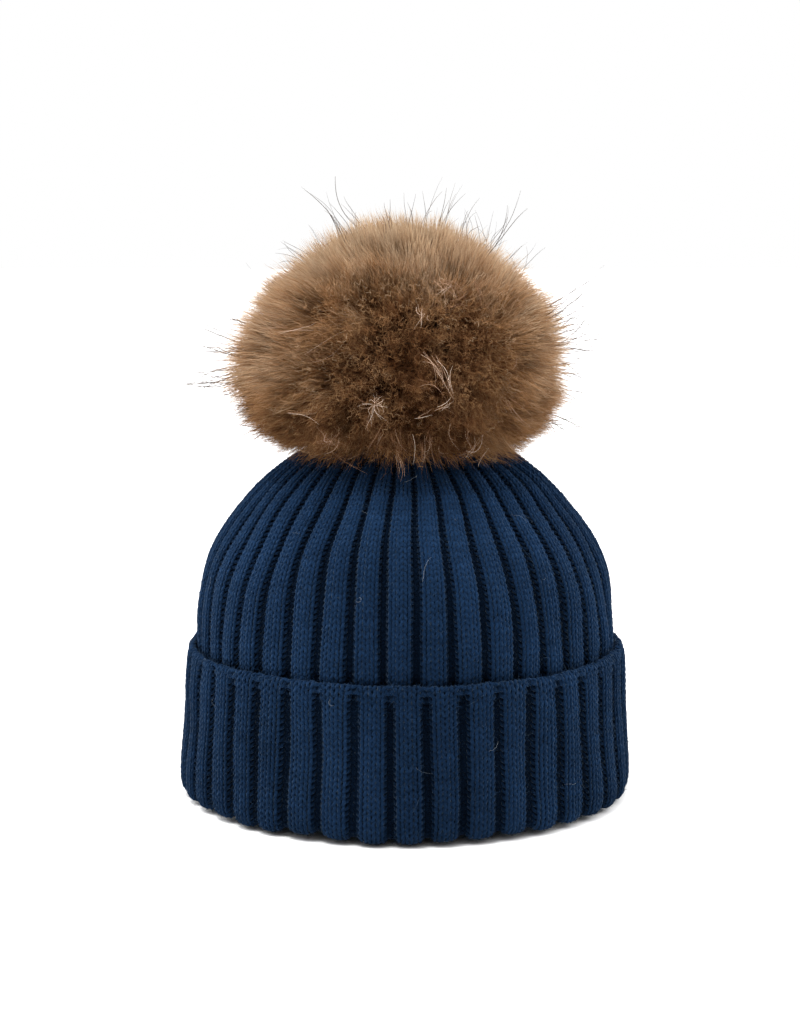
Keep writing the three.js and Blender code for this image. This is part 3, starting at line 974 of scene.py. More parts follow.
def loose_hairs(name, part, count, seed, low=0.0):
    """Long pale fibres that have worked their way out and lie curled on the surface."""
    rand = rng(seed)
    foot, up = fibre_points(part[0], count, rand, low, 999.0)
    places = 11
    side = unit(np.cross(up, random_units(rand, count)))
    ahead = np.cross(side, up)
    length = rand.uniform(3.5, 13, count)
    turn = rand.normal(0, 0.22, (count, places)) + rand.normal(0, 0.16, (count, 1))
    turn = np.cumsum(turn, 1)
    course = np.cos(turn)[..., None] * ahead[:, None] + np.sin(turn)[..., None] * side[:, None]
    lines = foot[:, None] + np.cumsum((length / places)[:, None, None] * course, 1)
    hump = np.sin(np.linspace(0, math.pi * 0.9, places))[None]
    rise = hump * rand.uniform(0.6, 2.6, (count, 1)) + 0.7
    # follow the fabric where it curves away underneath
    drop = np.sum((lines - foot[:, None]) ** 2, -1, keepdims=True) / 180
    lines = lines + up[:, None] * rise[..., None] - up[:, None] * drop
    lines[..., 2] = np.maximum(lines[..., 2], 0.5)
    taper = np.interp(np.linspace(0, 1, places), [0, 0.8, 1], [1, 0.8, 0.3])[None]
    radii = 0.036 * rand.uniform(0.7, 1.3, (count, 1)) * taper
    shade = rand.choice([0.92, 0.95, 0.99], (count, 1), p=[0.5, 0.3, 0.2])
    up = np.broadcast_to(up[:, None], lines.shape)
    open_tubes(name, lines, radii, up, 3, FLUFF, part, {"shade": shade})


fluff("crown_fluff_0", CROWN_KNIT, 21000, 901, low=57)
fluff("crown_fluff_1", CROWN_KNIT, 21000, 902, low=57)
fluff("crown_fluff_low", CROWN_KNIT, 7000, 904, low=6, high=57, length=0.6)
fluff("cuff_fluff", CUFF_KNIT, 30000, 903)
loose_hairs("crown_loose_hairs", CROWN_KNIT, 80, 911, low=62)
loose_hairs("cuff_loose_hairs", CUFF_KNIT, 60, 912)

# ------------------------------------------------------------------------------------------
# Pompom: directions from its middle are a tilt from +Z and a turn from the front
# ------------------------------------------------------------------------------------------
BALL = np.array([0.0, 0.0, 184.0])  # middle of the skin
LEAN = np.array([-2.2, 0.0, 0.0])  # how far the coat leans to one side
COAT_MIDDLE = BALL + LEAN
# Outline of the coat as (radius, height), from the top down
SHAPE = np.array([
    (0, 239.5), (18, 238.0), (35, 232.2), (50, 221.8), (60.2, 210), (66.2, 197),
    (FUR_RADIUS, 184), (68, 173), (65.9, 161), (61.5, 152), (55.8, 146.4), (50.5, 144.2),
])
SHAPE_TILT = np.arctan2(SHAPE[:, 0], SHAPE[:, 1] - BALL[2])
SHAPE_REACH = np.hypot(SHAPE[:, 0], SHAPE[:, 1] - BALL[2])
LOWEST = 128.5 * DEG  # hair never points further down, because the crown is there
# Heights over the axis distance: the crown under the hair, and the underside of the coat
CROWN_GROUND = (
    [0, 10, 20, 30, 40, 50, 56, 62, 70, 80],
    [156.5, 155.6, 154.0, 151.6, 148.0, 142.6, 138.4, 132.6, 123.0, 109],
)
UNDERSIDE = ([0, 10, 20, 30, 40, 50, 60], [157.4, 156.6, 155.6, 153.4, 150.0, 145.0, 137.0])
# Where the ball bulges or falls in: direction, width in radians, share of the radius
BULGES = [
    ((-1, -0.1, -0.10), 0.36, 0.075), ((-0.82, 0, -0.57), 0.20, -0.075),
    ((-0.80, 0, 0.60), 0.30, -0.035), ((1, 0, 0.15), 0.34, 0.030),
    ((0.66, 0, 0.75), 0.26, -0.030), ((0.84, 0, -0.50), 0.22, -0.015),
    ((0.2, 0.95, 0.1), 0.4, 0.025), ((-0.6, 0.75, 0.3), 0.3, -0.03),
]
# Hollows on the front, where the hair is shorter and painted darker as shade: x, z, width, depth
# as a share of the reach
HOLLOWS = [
    (1.8, 188.8, 4.6, 0.13), (-10.7, 175.7, 4.0, 0.13), (20.6, 190.9, 4.2, 0.12),
    (-13.3, 214.0, 6.0, 0.06), (-23.2, 162.6, 4.6, 0.10), (3.4, 160.5, 5.0, 0.10),
    (8.0, 198.5, 3.2, 0.08), (-4.0, 200.0, 3.2, 0.08), (14.0, 178.0, 3.4, 0.08),
    (26.0, 203.0, 3.4, 0.07), (-1.5, 172.0, 3.2, 0.09), (28.0, 176.0, 3.6, 0.08),
    (-16.0, 188.0, 3.6, 0.07),
]

lump = Noise(31, 34)
tuft_lump = Noise(32, 16)
patch_noise = Noise(36, 46)
swirl = [Noise(33 + i, 40) for i in range(3)]


def pom_radius(tilt):
    return np.interp(tilt, SHAPE_TILT, SHAPE_REACH)


def direction(tilt, turn):
    side = np.sin(tilt)
    return np.stack([side * np.sin(turn), -side * np.cos(turn), np.cos(tilt)], -1)


def angles(aim):
    return np.arccos(np.clip(aim[..., 2], -1, 1)), np.arctan2(aim[..., 0], -aim[..., 1])


def fibonacci(count, seed, jitter=0.5):
    """Evenly spread directions, as tilts and turns, each a little displaced."""
    rand = rng(seed)
    i = np.arange(count) + 0.5
    tilt = np.arccos(1 - 2 * i / count)
    turn = math.pi * (1 + 5**0.5) * i
    spread = jitter * math.sqrt(4 * math.pi / count)
    moved = np.clip(tilt + rand.normal(size=count) * spread, 0.01, math.pi - 0.01)
    return moved, turn + rand.normal(size=count) * spread / np.maximum(np.sin(tilt), 0.15)


def near(aim, axis, width):
    """1 along `axis`, falling off smoothly over `width` radians."""
    away = np.arccos(np.clip(aim @ unit(np.array(axis, float)), -1, 1))
    return np.exp(-(away**2) / (2 * width**2))


def reach(aim):
    """How far the coat stands out from the middle of the ball."""
    radius = pom_radius(np.arccos(np.clip(aim[..., 2], -1, 1)))
    for axis, width, gain in BULGES:
        radius = radius * (1 + gain * near(aim, axis, width))
    return radius * (0.988 + 0.016 * tuft_lump(aim * 66) + 0.018 * lump(aim * 62))


def front(x, z, factor=1.0):
    """The point of the coat's front at this x and z, or `factor` times as far out."""
    low, high = -85.0, 0.0
    for _ in range(40):
        y = (low + high) / 2
        away = np.array([x, y, z]) - COAT_MIDDLE
        if np.linalg.norm(away) > factor * reach(unit(away)):
            low = y
        else:
            high = y
    return np.array([x, (low + high) / 2, z])


def curliness(aim):
    """0 where the coat lies smooth and straight, 1 where it is tufted and curly."""
    curl = 0.10 + 0.98 * near(aim, (0.16, -1, 0.04), 0.44)
    curl = curl + 0.75 * near(aim, (-0.25, 0.95, 0.05), 0.46)
    curl = curl + 0.36 * smooth((0.0 - aim[..., 2]) / 0.55) + 0.22 * patch_noise(aim * 60)
    return np.clip(curl - 0.5 * smooth((aim[..., 2] - 0.45) / 0.4), 0, 1.1)


# Lighter and darker areas of the coat: gain, direction, width in radians
TONE_AREAS = [
    (0.17, (0.0, -0.35, 0.95), 0.35), (-0.12, (-0.45, -0.75, 0.55), 0.3),
    (-0.17, (0.72, -0.69, 0.02), 0.24), (-0.06, (-1, -0.2, 0.05), 0.4),
    (0.20, (0.68, -0.6, -0.42), 0.26), (0.12, (0.0, -0.8, -0.6), 0.28),
]


def tone(aim):
    """How pale the hair tips are: tan at the top and sides, brown in front and underneath; the
    paler top and the brown front and underside are painted light and shade.
    """
    # painted light: paler towards the top, as if lit from above
    pale = 0.77 + 0.11 * smooth((aim[..., 2] - 0.1) / 0.7)
    # painted shade: darker in front
    pale = pale - 0.62 * near(aim, (0.12, -1, 0.0), 0.50)
    pale = pale - 0.45 * near(aim, (-0.2, 0.95, -0.05), 0.42)
    # painted shade: darker underneath, more so towards the front
    to_front = 0.5 + 0.5 * smooth((-aim[..., 1] + 0.6) / 1.0)
    pale = pale - 0.42 * smooth((-0.02 - aim[..., 2]) / 0.5) * to_front
    for gain, axis, width in TONE_AREAS:
        pale = pale + gain * near(aim, axis, width)
    tufted = (0.03 + 0.07 * curliness(aim)) * tuft_lump(aim * 66 + 90)
    return pale + 0.06 * patch_noise(aim * 60 + 300) + tufted


def wells():
    """Hollows between the tufts, placed on the front and random elsewhere."""
    found = [(front(x, z), width, depth) for x, z, width, depth in HOLLOWS]
    rand = rng(77)
    tilt, turn = fibonacci(150, 78)
    aims = direction(tilt, turn)
    keep = (tilt < LOWEST) & (rand.uniform(size=150) < curliness(aims) - 0.25)
    keep = keep & (near(aims, (0.1, -1, 0), 0.5) < 0.5)
    for aim in aims[keep]:
        point = COAT_MIDDLE + aim * reach(aim)
        found.append((point, rand.uniform(2.6, 4.6), rand.uniform(0.05, 0.11)))
    return found


WELLS = wells()


def outward(tilt):
    """Hair from the ball's underside turns outwards along the crown."""
    start = 96 * DEG
    eased = (1 - np.exp(-(tilt - start) / (46 * DEG))) / (1 - math.exp(-84 / 46))
    return np.where(tilt > start, start + (LOWEST - start) * eased, tilt)


def off_crown(lines, rand):
    """Keeps hair above the knitted crown."""
    ground = np.interp(np.hypot(lines[..., 0], lines[..., 1]), *CROWN_GROUND)
    lines[..., 2] = np.maximum(lines[..., 2], ground + 0.8 * rand.uniform(0, 1, (len(lines), 1)))
    return lines


def limit(lines):
    """Keeps far tips inside the room round the CAD box."""
    lines[..., :2] = np.clip(lines[..., :2], -109, 109)
    lines[..., 2] = np.clip(lines[..., 2], 60, FUR_TOP + 16.4)
    return lines


def strands(count, seed, places=6, start=0.5, length=(0.84, 1.0), clumping=1.0, curl=1.0):
    """Curved hairs in tufts, which gather in groups, from the skin to the coat's outside.

    Returns the lines, their places from skin to tip, the tips' directions, the tuft of each
    hair and how far it falls back into a hollow.
    """
    rand = rng(seed)
    clumps, groups = 3600, 520
    clump_aims = direction(*fibonacci(clumps, 161))
    group_aims = direction(*fibonacci(groups, 162))
    parent = np.argmax(clump_aims @ group_aims.T, 1)
    which = rand.integers(0, clumps, count)
    base = clump_aims[which]
    side = unit(np.cross(base, np.array([0.3, 0.2, 1.0])))
    lift = np.cross(base, side)
    off = np.sqrt(rand.uniform(0, 1, count))
    spread = math.sqrt(4 * math.pi / clumps) * off
    spin = rand.uniform(0, TAU, count)
    aim = base + side * (spread * np.cos(spin))[:, None] + lift * (spread * np.sin(spin))[:, None]
    tilt, turn = angles(unit(aim))
    clump_tilt, clump_turn = angles(base)
    group_tilt, group_turn = angles(group_aims[parent][which])
    curly = curliness(base)
    # the tip leans towards its tuft and its group, and a slow swirl bends it
    to_clump = clumping * (0.09 + 0.50 * curly) * rand.uniform(0.5, 1.15, count)
    to_group = clumping * (0.05 + 0.17 * curly) * rand.uniform(0.5, 1.1, count)
    tip_aim = (
        direction(outward(tilt), turn) * (1 - to_clump - to_group)[:, None]
        + direction(outward(clump_tilt), clump_turn) * to_clump[:, None]
        + direction(outward(group_tilt), group_turn) * to_group[:, None]
    )
    bend = np.stack([noise(base * 60) for noise in swirl], -1)
    tip_aim = unit(tip_aim + 0.028 * rand.normal(size=(count, 3)) + 0.105 * bend)
    tip_tilt, tip_turn = angles(tip_aim)
    tip_tilt = np.minimum(tip_tilt, LOWEST)
    tip_aim = direction(tip_tilt, tip_turn)
    own = rng(163).normal(size=clumps)[which]
    size = reach(tip_aim) * rand.uniform(*length, count)
    size = size * (1 + (0.010 + 0.018 * curly) * own) * (1 - 0.06 * curly * off**2)
    tip = BALL + tip_aim * size[:, None]
    gap = np.zeros(count)
    for point, width, depth in WELLS:
        away = np.sum((tip + LEAN - point) ** 2, -1)
        gap += depth * np.exp(-away / (2 * width * width))
    size = size * (1 - gap)
    tip = BALL + tip_aim * size[:, None]
    tip[:, 2] -= 2.0 * np.sin(tip_tilt) * (1 - 0.6 * smooth((tip_tilt - 1.6) / 0.5))
    root_aim = direction(np.minimum(tilt, 150 * DEG), turn)
    root = BALL + root_aim * np.array([25.0, 25.0, 23.0])
    first = unit(root_aim * np.array([1, 1, 0.8]))
    level = np.stack([first[:, 0], first[:, 1], np.maximum(first[:, 2], -0.30)], -1)
    first = np.where((tilt > 100 * DEG)[:, None], unit(level), first)
    distance = np.linalg.norm(tip - root, axis=-1)
    middle = root + first * (0.55 * distance)[:, None]
    middle = middle + (0.8 + 0.8 * curly)[:, None] * rand.normal(size=(count, 3))
    along = steps(places, start)
    lines = bezier(root, middle, tip, along)
    along = along[..., 0]
    # crimp: the hairs of a tuft wave together, more and more towards their tips
    ahead = unit(tip - middle)
    side = unit(np.cross(ahead, np.array([0.2, 0.35, 0.9])))
    lift = np.cross(ahead, side)
    shared = rng(164)
    phase = shared.uniform(0, TAU, clumps)[which] + 0.55 * rand.normal(size=count)
    wave = shared.uniform(9.5, 17, clumps)[which] * rand.uniform(0.9, 1.1, count)
    spin = phase[:, None] + TAU * (along * distance[:, None]) / wave[:, None]
    swing = curl * (0.35 + 1.55 * curly * rand.uniform(0.5, 1.2, count))[:, None]
    swing = (swing * smooth((along - 0.42) / 0.5))[..., None]
    crimp = np.cos(spin)[..., None] * side[:, None] + np.sin(spin)[..., None] * lift[:, None]
    lines = lines + swing * crimp
    away = np.linalg.norm(lines - BALL, axis=-1)
    lines = lines + LEAN * smooth((away - 25) / 40)[..., None]
    return off_crown(lines, rand), along[0], tip_aim, which, gap


FUR = long_hair()


def fur_ribbons(name, lines, widths, roll, along, shade, warm):
    attributes = {"along": along, "shade": shade, "warm": warm}
    ribbons(name, lines, widths, roll, FUR, COAT, attributes)


def underfur(name, count, seed, width, **shape):
    rand = rng(seed + 7)
    lines, places, tip_aim, which, gap = strands(count, seed, **shape)
    taper = np.interp(places, [0.5, 0.75, 0.9, 1], [1.0, 0.95, 0.65, 0.2])[None]
    widths = width * rand.uniform(0.7, 1.3, (count, 1)) * taper
    family = rng(165).normal(size=4000)[which]
    # painted shade: hairs that fall back into a hollow are darker
    shade = tone(tip_aim) + 0.10 * family + 0.09 * rand.normal(size=count) - 3.0 * gap
    shade = np.clip(shade, 0, 1)[:, None]
    warm = 0.5 + 0.4 * tuft_lump(lines[:, -1]) + 0.2 * rand.normal(size=count)
    warm = np.clip(warm, 0, 1)[:, None]
    # painted shade: in a hollow the colour moves towards the darker root
    along = places[None] * (1 + 0.03 * rand.normal(size=(count, 1))) - 0.6 * gap[:, None]
    along = np.clip(along, 0, 1)
    fur_ribbons(name, limit(lines), widths, random_units(rand, count), along, shade, warm)


def bed_hair(name, count, seed):
    """The hair underneath, flat between skin and crown, running out from the press stud."""
    rand = rng(seed)
    turn = rand.uniform(0, TAU, count)
    start = 12.7 + 27 * rand.uniform(0, 1, count) ** 0.8
    length = rand.uniform(9, 16, count)
    along = np.linspace(0, 1, 6)[None]
    radius = start[:, None] + length[:, None] * along
    drift = 0.16 * rand.normal(size=(count, 1)) * along
    drift = drift + 0.03 * np.sin(5 * along + rand.uniform(0, 6.28, (count, 1)))
    angle = turn[:, None] + drift * 12 / radius
    sag = along**0.7 * rand.uniform(0.3, 1.0, (count, 1))
    z = np.interp(radius, *UNDERSIDE) + 0.25 - sag
    lines = off_crown(around(radius, z, angle), rand)
    shade = np.clip(0.30 + 0.16 * rand.normal(size=(count, 1)), 0, 1)
    taper = np.interp(along[0], [0, 0.2, 0.7, 1], [0.7, 1, 0.8, 0.2])[None]
    widths = 0.26 * rand.uniform(0.7, 1.3, (count, 1)) * taper
    roll = unit(np.array([0.0, 0.0, 1.0]) + 0.4 * rand.normal(size=(count, 3)))
    warm = rand.uniform(0.2, 0.9, (count, 1))
    fur_ribbons(name, lines, widths, roll, 0.62 + 0.36 * along, shade, warm)


def crimped(name, count, seed):
    """Hairs that curl over at the surface of the tufted parts of the coat."""
    rand = rng(seed)
    tilt, turn = fibonacci(count * 3, seed + 1, 0.9)
    aim = direction(tilt, turn)
    keep = (tilt < LOWEST) & (rand.uniform(size=len(aim)) < curliness(aim) ** 1.2)
    aim = aim[keep][:count]
    aim = aim[rng(seed + 2).permutation(len(aim))]
    count = len(aim)
    foot = COAT_MIDDLE + aim * (reach(aim) * rand.uniform(0.90, 0.985, count))[:, None]
    side = unit(np.cross(aim, rand.normal(size=(count, 3))))
    lift = np.cross(aim, side)[:, None]
    along = steps(9)
    each = (count, 1, 1)
    length = rand.uniform(4.0, 9.0, each)
    spin = rand.uniform(1.2, 2.6, each) * TAU * along + rand.uniform(0, 6.28, each)
    swing = rand.uniform(0.45, 1.15, each)
    rise = rand.uniform(0.1, 0.75, each)
    course = side[:, None] * (1 - rise) + aim[:, None] * rise * (1 - 0.5 * along)
    curl = np.cos(spin) * lift + 0.7 * np.sin(spin) * aim[:, None]
    lines = off_crown(foot[:, None] + length * along * course + swing * curl, rand)
    shade = np.clip(tone(aim) + rand.normal(0.12, 0.16, count), 0, 1)[:, None]
    along = along[..., 0]
    taper = np.interp(along[0], [0, 0.2, 0.8, 1], [0.6, 1, 0.8, 0.2])[None]
    widths = 0.15 * rand.uniform(0.7, 1.3, (count, 1)) * taper
    roll = random_units(rand, count)
    warm = rand.uniform(0.2, 0.9, (count, 1))
    fur_ribbons(name, lines, widths, roll, 0.80 + 0.2 * along, shade, warm)


def hair_depth():
    """The dark, felted depth of the coat, under the strands."""
    sides = 128
    turns = np.arange(sides) / sides * TAU
    tilt, turn = np.meshgrid(np.linspace(0.03, 1, 72) * 148 * DEG, turns, indexing="ij")
    aim = direction(np.minimum(tilt, LOWEST + (tilt - LOWEST) * 0.5), turn)
    uneven = 1 + 0.05 * Noise(71, 14)(aim * 60) + 0.03 * Noise(72, 5)(aim * 60)
    size = pom_radius(np.minimum(tilt, LOWEST)) * 0.62 * uneven
    rows = BALL + aim * size[..., None]
    floor = np.interp(np.hypot(rows[..., 0], rows[..., 1]), *UNDERSIDE)
    rows[..., 2] = np.maximum(rows[..., 2], floor)
    mouth = lathe([(12.0, 157.5), (12.4, 160.0), (12.5, 163.0)], sides)
    top, bottom = BALL + [0, 0, SHAPE_REACH[0] * 0.6], [0, 0, 163.0]
    rows = np.concatenate([rows, mouth], 0)
    closed_lathe("hair_depth", rows, top, bottom, hair_depth_material(), COAT)


def lay_fur():
    groups, each = ((6, 20500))
    for n in range(groups):
        far = n in (2, 5)
        width = 0.19 if far else 0.25
        length = (0.90, 1.07) if far else (0.89, 1.0)
        underfur(f"underfur_{n}", each, 60 + 10 * n, width, length=length)
    # the soft halo: finer, slightly longer hairs
    underfur(
        "fine_hair", 20000, 150, 0.14,
        places=5, start=0.66, length=(0.96, 1.11), clumping=0.35, curl=0.8,
    )
    bed_hair("pressed_hair", 5200, 180)
    crimped("crimped_hair", 5200, 170)
    hair_depth()


lay_fur()

# ------------------------------------------------------------------------------------------
# Guard hairs: dark tips, and the cream and red-brown ones that lie in wisps
# ------------------------------------------------------------------------------------------
GUARD = guard_hair_material()

# Clusters past the outline: tip x, z, foot x, z, hairs, spread of the tips, bow
STRAGGLERS = [
    (-40.7, 255.5, -25.2, 231, 2, 1.0, 1.5), (-38, 250.5, -26, 230, 2, 1.5, 1.5),
    (-31, 255, -18, 233, 2, 1.6, -2.5), (-27, 247, -20, 230, 3, 2.5, 1.0),
    (21.4, 251.8, 13.5, 228, 5, 1.1, -1.2), (18, 245, 13, 226, 5, 1.4, -0.8),
    (27, 246, 22, 228, 3, 2.4, 2.5), (30, 242, 26, 226, 4, 3.0, -3.5),
    (38.1, 239.6, 29, 223, 4, 2.8, 3.0), (35, 237.3, 33, 220, 3, 2.6, -3.0),
    (42, 240, 33, 222, 3, 2.2, 2.0), (46.9, 245.7, 33, 226, 3, 1.0, 1.4),
    (54, 226, 42, 214, 4, 2.6, 1.2), (80.8, 217.7, 56, 201, 3, 1.0, 1.6),
    (84.7, 213.3, 57, 198, 3, 1.4, 1.6), (76, 212, 57, 197, 3, 1.8, 1.0),
    (72, 207, 56, 196, 7, 3.0, 0.8), (74, 201, 57, 193, 7, 3.2, 0.6),
    (75.5, 195, 58, 190, 7, 3.4, 0.6), (79.1, 187, 58, 184, 5, 2.6, 0.8),
    (77, 180, 58, 179, 4, 3.0, -0.6), (76.5, 172, 57, 174, 5, 2.6, -0.8),
    (74, 163, 55, 167, 5, 3.0, -1.0), (72.5, 154, 52, 160, 4, 2.4, -1.0),
    (65, 150, 48, 157, 4, 2.4, -1.2), (-85.1, 192.2, -62, 187, 3, 1.2, 0.8),
    (-83, 188, -62, 184, 3, 2.0, 0.8), (-86, 182, -63, 181, 4, 1.8, 0.5),
    (-87, 177, -63, 179, 3, 1.4, -0.6), (-85.1, 172.3, -63, 176, 4, 2.0, -0.9),
    (-91.8, 169.5, -63, 174, 3, 1.2, -1.6), (-80, 168, -62, 172, 4, 2.6, -0.8),
    (-74, 198, -58, 191, 5, 2.8, 0.6), (-55.2, 227, -38, 217, 3, 1.4, 0.8),
    (-49, 232, -36, 220, 3, 2.0, 0.8), (-43, 236.4, -33, 222, 3, 1.6, 0.8),
    (-69, 208, -53, 201, 4, 2.2, 0.8), (-64, 215, -50, 206, 3, 2.4, 0.8),
    (-8.6, 246.4, -6, 229, 4, 1.8, 0.5), (9.4, 249, 8, 229, 4, 1.4, -0.6),
    (2, 245, 1, 229, 3, 2.4, 0.4), (-30, 241.5, -21, 226, 6, 1.6, 1.0),
    (-22, 243, -16, 227, 4, 2.4, 0.8), (-70, 163.5, -52, 166, 4, 2.2, -0.8),
    (-70.5, 158, -51, 163, 3, 2.4, -1.0), (-65, 152, -47, 159, 4, 2.4, -1.2),
    (-58, 146, -43, 155, 3, 2.0, -1.0),
]
# Rays of the pale star on the front: its middle (x, z), then (angle in degrees, length)
STAR = (-12.2, 169.4)
STAR_RAYS = [
    (12, 6.5), (38, 5), (66, 4.5), (98, 3.6), (132, 5), (163, 7.5), (196, 8.5), (226, 6),
    (248, 10.5), (262, 6), (287, 4.6), (318, 5.5), (346, 6.5),
]
WISP, THIN_WISP = 0.055, 0.046  # radii of the hairs
# Wisps on the front: start x, z, end x, z, how far out the end lies as a share of the coat,
# bow, hairs, spread, paleness, radius
FRONT_WISPS = [
    (6.0, 190.5, 16.4, 173.6, 1.04, -2.2, 5, 1.1, 0.80, WISP),
    (11.0, 189.0, 16.0, 175.0, 1.05, -2.0, 5, 1.2, 0.76, WISP),
    (17.5, 184.0, 16.6, 174.0, 1.05, 0.8, 4, 0.9, 0.84, WISP),
    (3.8, 178.5, 15.0, 173.0, 1.03, -1.6, 3, 0.9, 0.72, WISP),
    (4.4, 206.6, 8.6, 202.4, 1.05, 1.8, 4, 1.1, 0.88, WISP),
    (9.0, 204.8, 4.0, 203.4, 1.04, -1.4, 3, 1.0, 0.86, WISP),
    (11.7, 217.1, 20.1, 209.7, 1.04, -2.6, 6, 1.0, 0.80, WISP),
    (12.0, 211.4, 20.0, 216.4, 1.03, 1.6, 4, 0.8, 0.86, WISP),
    (16.0, 208.0, 24.0, 211.0, 1.03, 1.6, 4, 0.9, 0.66, WISP),
    (27.4, 217.1, 31.0, 205.6, 1.03, -0.8, 8, 0.8, 0.60, WISP),
    (42.0, 181.0, 45.4, 188.4, 1.06, 2.4, 3, 0.5, 0.74, WISP),
    (45.4, 188.4, 42.6, 182.0, 1.06, 2.6, 3, 0.5, 0.74, WISP),
    (12.0, 167.6, 19.4, 171.4, 1.03, 0.8, 5, 0.6, 0.86, WISP),
    (-34.1, 158.4, -26.8, 151.2, 1.03, 2.0, 9, 1.0, 0.66, WISP),
    (-37.0, 153.0, -24.0, 152.4, 1.03, -1.8, 6, 1.0, 0.70, WISP),
    (-26.0, 158.0, -33.0, 150.0, 1.03, -1.8, 5, 0.9, 0.56, WISP),
    (-41.4, 187.2, -21.6, 201.4, 1.02, 1.4, 3, 0.7, 0.78, THIN_WISP),
    (-38.0, 183.0, -20.0, 196.0, 1.02, 2.0, 3, 1.2, 0.70, THIN_WISP),
    (-50.8, 196.1, -30.0, 197.2, 1.02, -0.8, 2, 0.8, 0.80, THIN_WISP),
    (-59.1, 195.6, -45.0, 197.2, 1.02, -0.6, 2, 0.8, 0.84, THIN_WISP),
    (-46.6, 163.7, -30.0, 163.7, 1.03, -0.8, 3, 0.8, 0.74, THIN_WISP),
    (3.4, 164.2, 10.7, 165.2, 1.03, -0.5, 3, 0.6, 0.76, WISP),
    (38.0, 172.0, 50.0, 158.0, 1.02, 0.8, 5, 1.6, 0.74, THIN_WISP),
    (-8.0, 160.0, -13.0, 150.0, 1.02, 0.8, 6, 1.4, 0.62, WISP),
    *((x, 160.0, x + 2.0, 151.0, 1.02, 1.2, 5, 1.2, 0.58, WISP) for x in (18.0, 24.0, 9.0, -4.0)),
]
# Wisps hanging from the coat's lower edge over the crown: start x, z, end x, z, bow, hairs
HANGING_WISPS = [
    (-1.8, 157.4, -0.8, 137.8, 1.2, 5), (2.0, 158.0, 3.0, 141.0, -1.2, 5),
    (8.6, 157.4, 6.5, 142.4, -1.6, 5), (5.0, 156.0, 9.4, 142.6, 1.2, 5),
    (-3.0, 150.0, -1.0, 139.0, -1.0, 4), (28.4, 153.2, 11.7, 142.9, -3.6, 4),
    (30.0, 156.0, 21.0, 144.4, -2.4, 4), (33.0, 150.0, 27.0, 142.8, -2.0, 3),
    (-14.0, 150.0, -23.0, 143.4, 2.2, 4), (-30.0, 148.6, -13.0, 143.2, 2.2, 3),
    (14.0, 152.0, 16.0, 143.0, 1.5, 4),
]


def hairs(name, lines, radii, shade, seed):
    """Round hairs with radii [K] at their thickest, pointed at the tip."""
    count, places = lines.shape[:2]
    along = np.linspace(0, 1, places)
    taper = np.interp(along, [0, 0.3, 0.75, 1], [0.8, 1, 0.85, 0.3])[None]
    up = np.broadcast_to(unit(rng(seed).normal(size=(count, 1, 3))), lines.shape)
    attributes = {"along": along[None], "shade": np.asarray(shade, float).reshape(-1, 1)}
    radii = radii.reshape(-1, 1) * taper
    open_tubes(name, limit(lines), radii, up, 3, GUARD, COAT, attributes)


def curves(start, end, bow, places, rand, kink):
    """Curved lines bent sideways by `bow` and a little unsteady."""
    start, end = np.asarray(start, float), np.asarray(end, float)
    side = unit(np.cross(end - start, np.array([0.0, -1.0, 0.15])))
    middle = (start + end) / 2 + side * np.reshape(bow, (-1, 1))
    along = steps(places)
    lines = bezier(start, middle, end, along)
    walk = np.cumsum(np.cumsum(rand.normal(size=lines.shape), 1), 1)
    return lines + kink * walk * along**1.5 / places


def guard_hairs(rand):
    count = 1500
    lines, _, tip_aim, _, _ = strands(
        count, 140, places=7, start=0.64, length=(0.95, 1.05), clumping=0.5, curl=0.9
    )
    radii = 0.062 * rand.uniform(0.7, 1.2, count)
    shade = np.clip(0.18 + 0.3 * tone(tip_aim) + 0.12 * rand.normal(size=count), 0, 0.7)
    hairs("guard_hair", lines, radii, shade, 52)


def straggling_hairs(rand):
    """Clusters that stand past the outline at the sides and the top, and round the back."""
    start, end, bow, shade, radii = [], [], [], [], []
    for tip_x, tip_z, foot_x, foot_z, count, spread, bend in STRAGGLERS:
        y = rand.uniform(-16, 14)
        side = abs(tip_x) > 60 and tip_z < 205
        for _ in range(count + 3 * side):
            short = rand.uniform(0.0, 0.40) ** 1.3 - 0.30 * side
            x, z = tip_x + (foot_x - tip_x) * short, tip_z + (foot_z - tip_z) * short
            end.append([
                x + spread * rand.normal() * 0.9,
                y * 1.2 + 3 * rand.normal(),
                z + spread * rand.normal() * 0.9,
            ])
            start.append([
                foot_x + spread * rand.normal(),
                y + 4 * rand.normal(),
                foot_z + spread * rand.normal(),
            ])
            bow.append(bend * rand.uniform(0.0, 2.6) + 0.7 * rand.normal())
            shade.append(np.clip(0.06 + 0.10 * rand.normal(), 0, 0.4))
            radii.append(0.15 if side else 0.125)
    for aim in direction(*fibonacci(60, 53, 0.6)):
        if aim[1] < 0.25 or aim[2] < -0.55:
            continue
        tip_aim = unit(aim + 0.25 * rand.normal(size=3))
        far = rand.uniform(6, 18)
        out = aim * reach(aim)
        for _ in range(rand.integers(2, 5)):
            start.append(COAT_MIDDLE + out * 0.84 + 2.2 * rand.normal(size=3))
            tip = COAT_MIDDLE + out + tip_aim * far * rand.uniform(0.6, 1.0)
            end.append(tip + 1.6 * rand.normal(size=3))
            bow.append(rand.normal() * 1.4)
            shade.append(np.clip(0.12 + 0.12 * rand.normal(), 0, 0.5))
            radii.append(0.13)
    lines = off_crown(curves(start, end, bow, 12, rand, kink=1.5), rand)
    radii = np.array(radii) * rand.uniform(0.5, 1.2, len(lines))
    hairs("straggling_hairs", lines, radii, shade, 54)


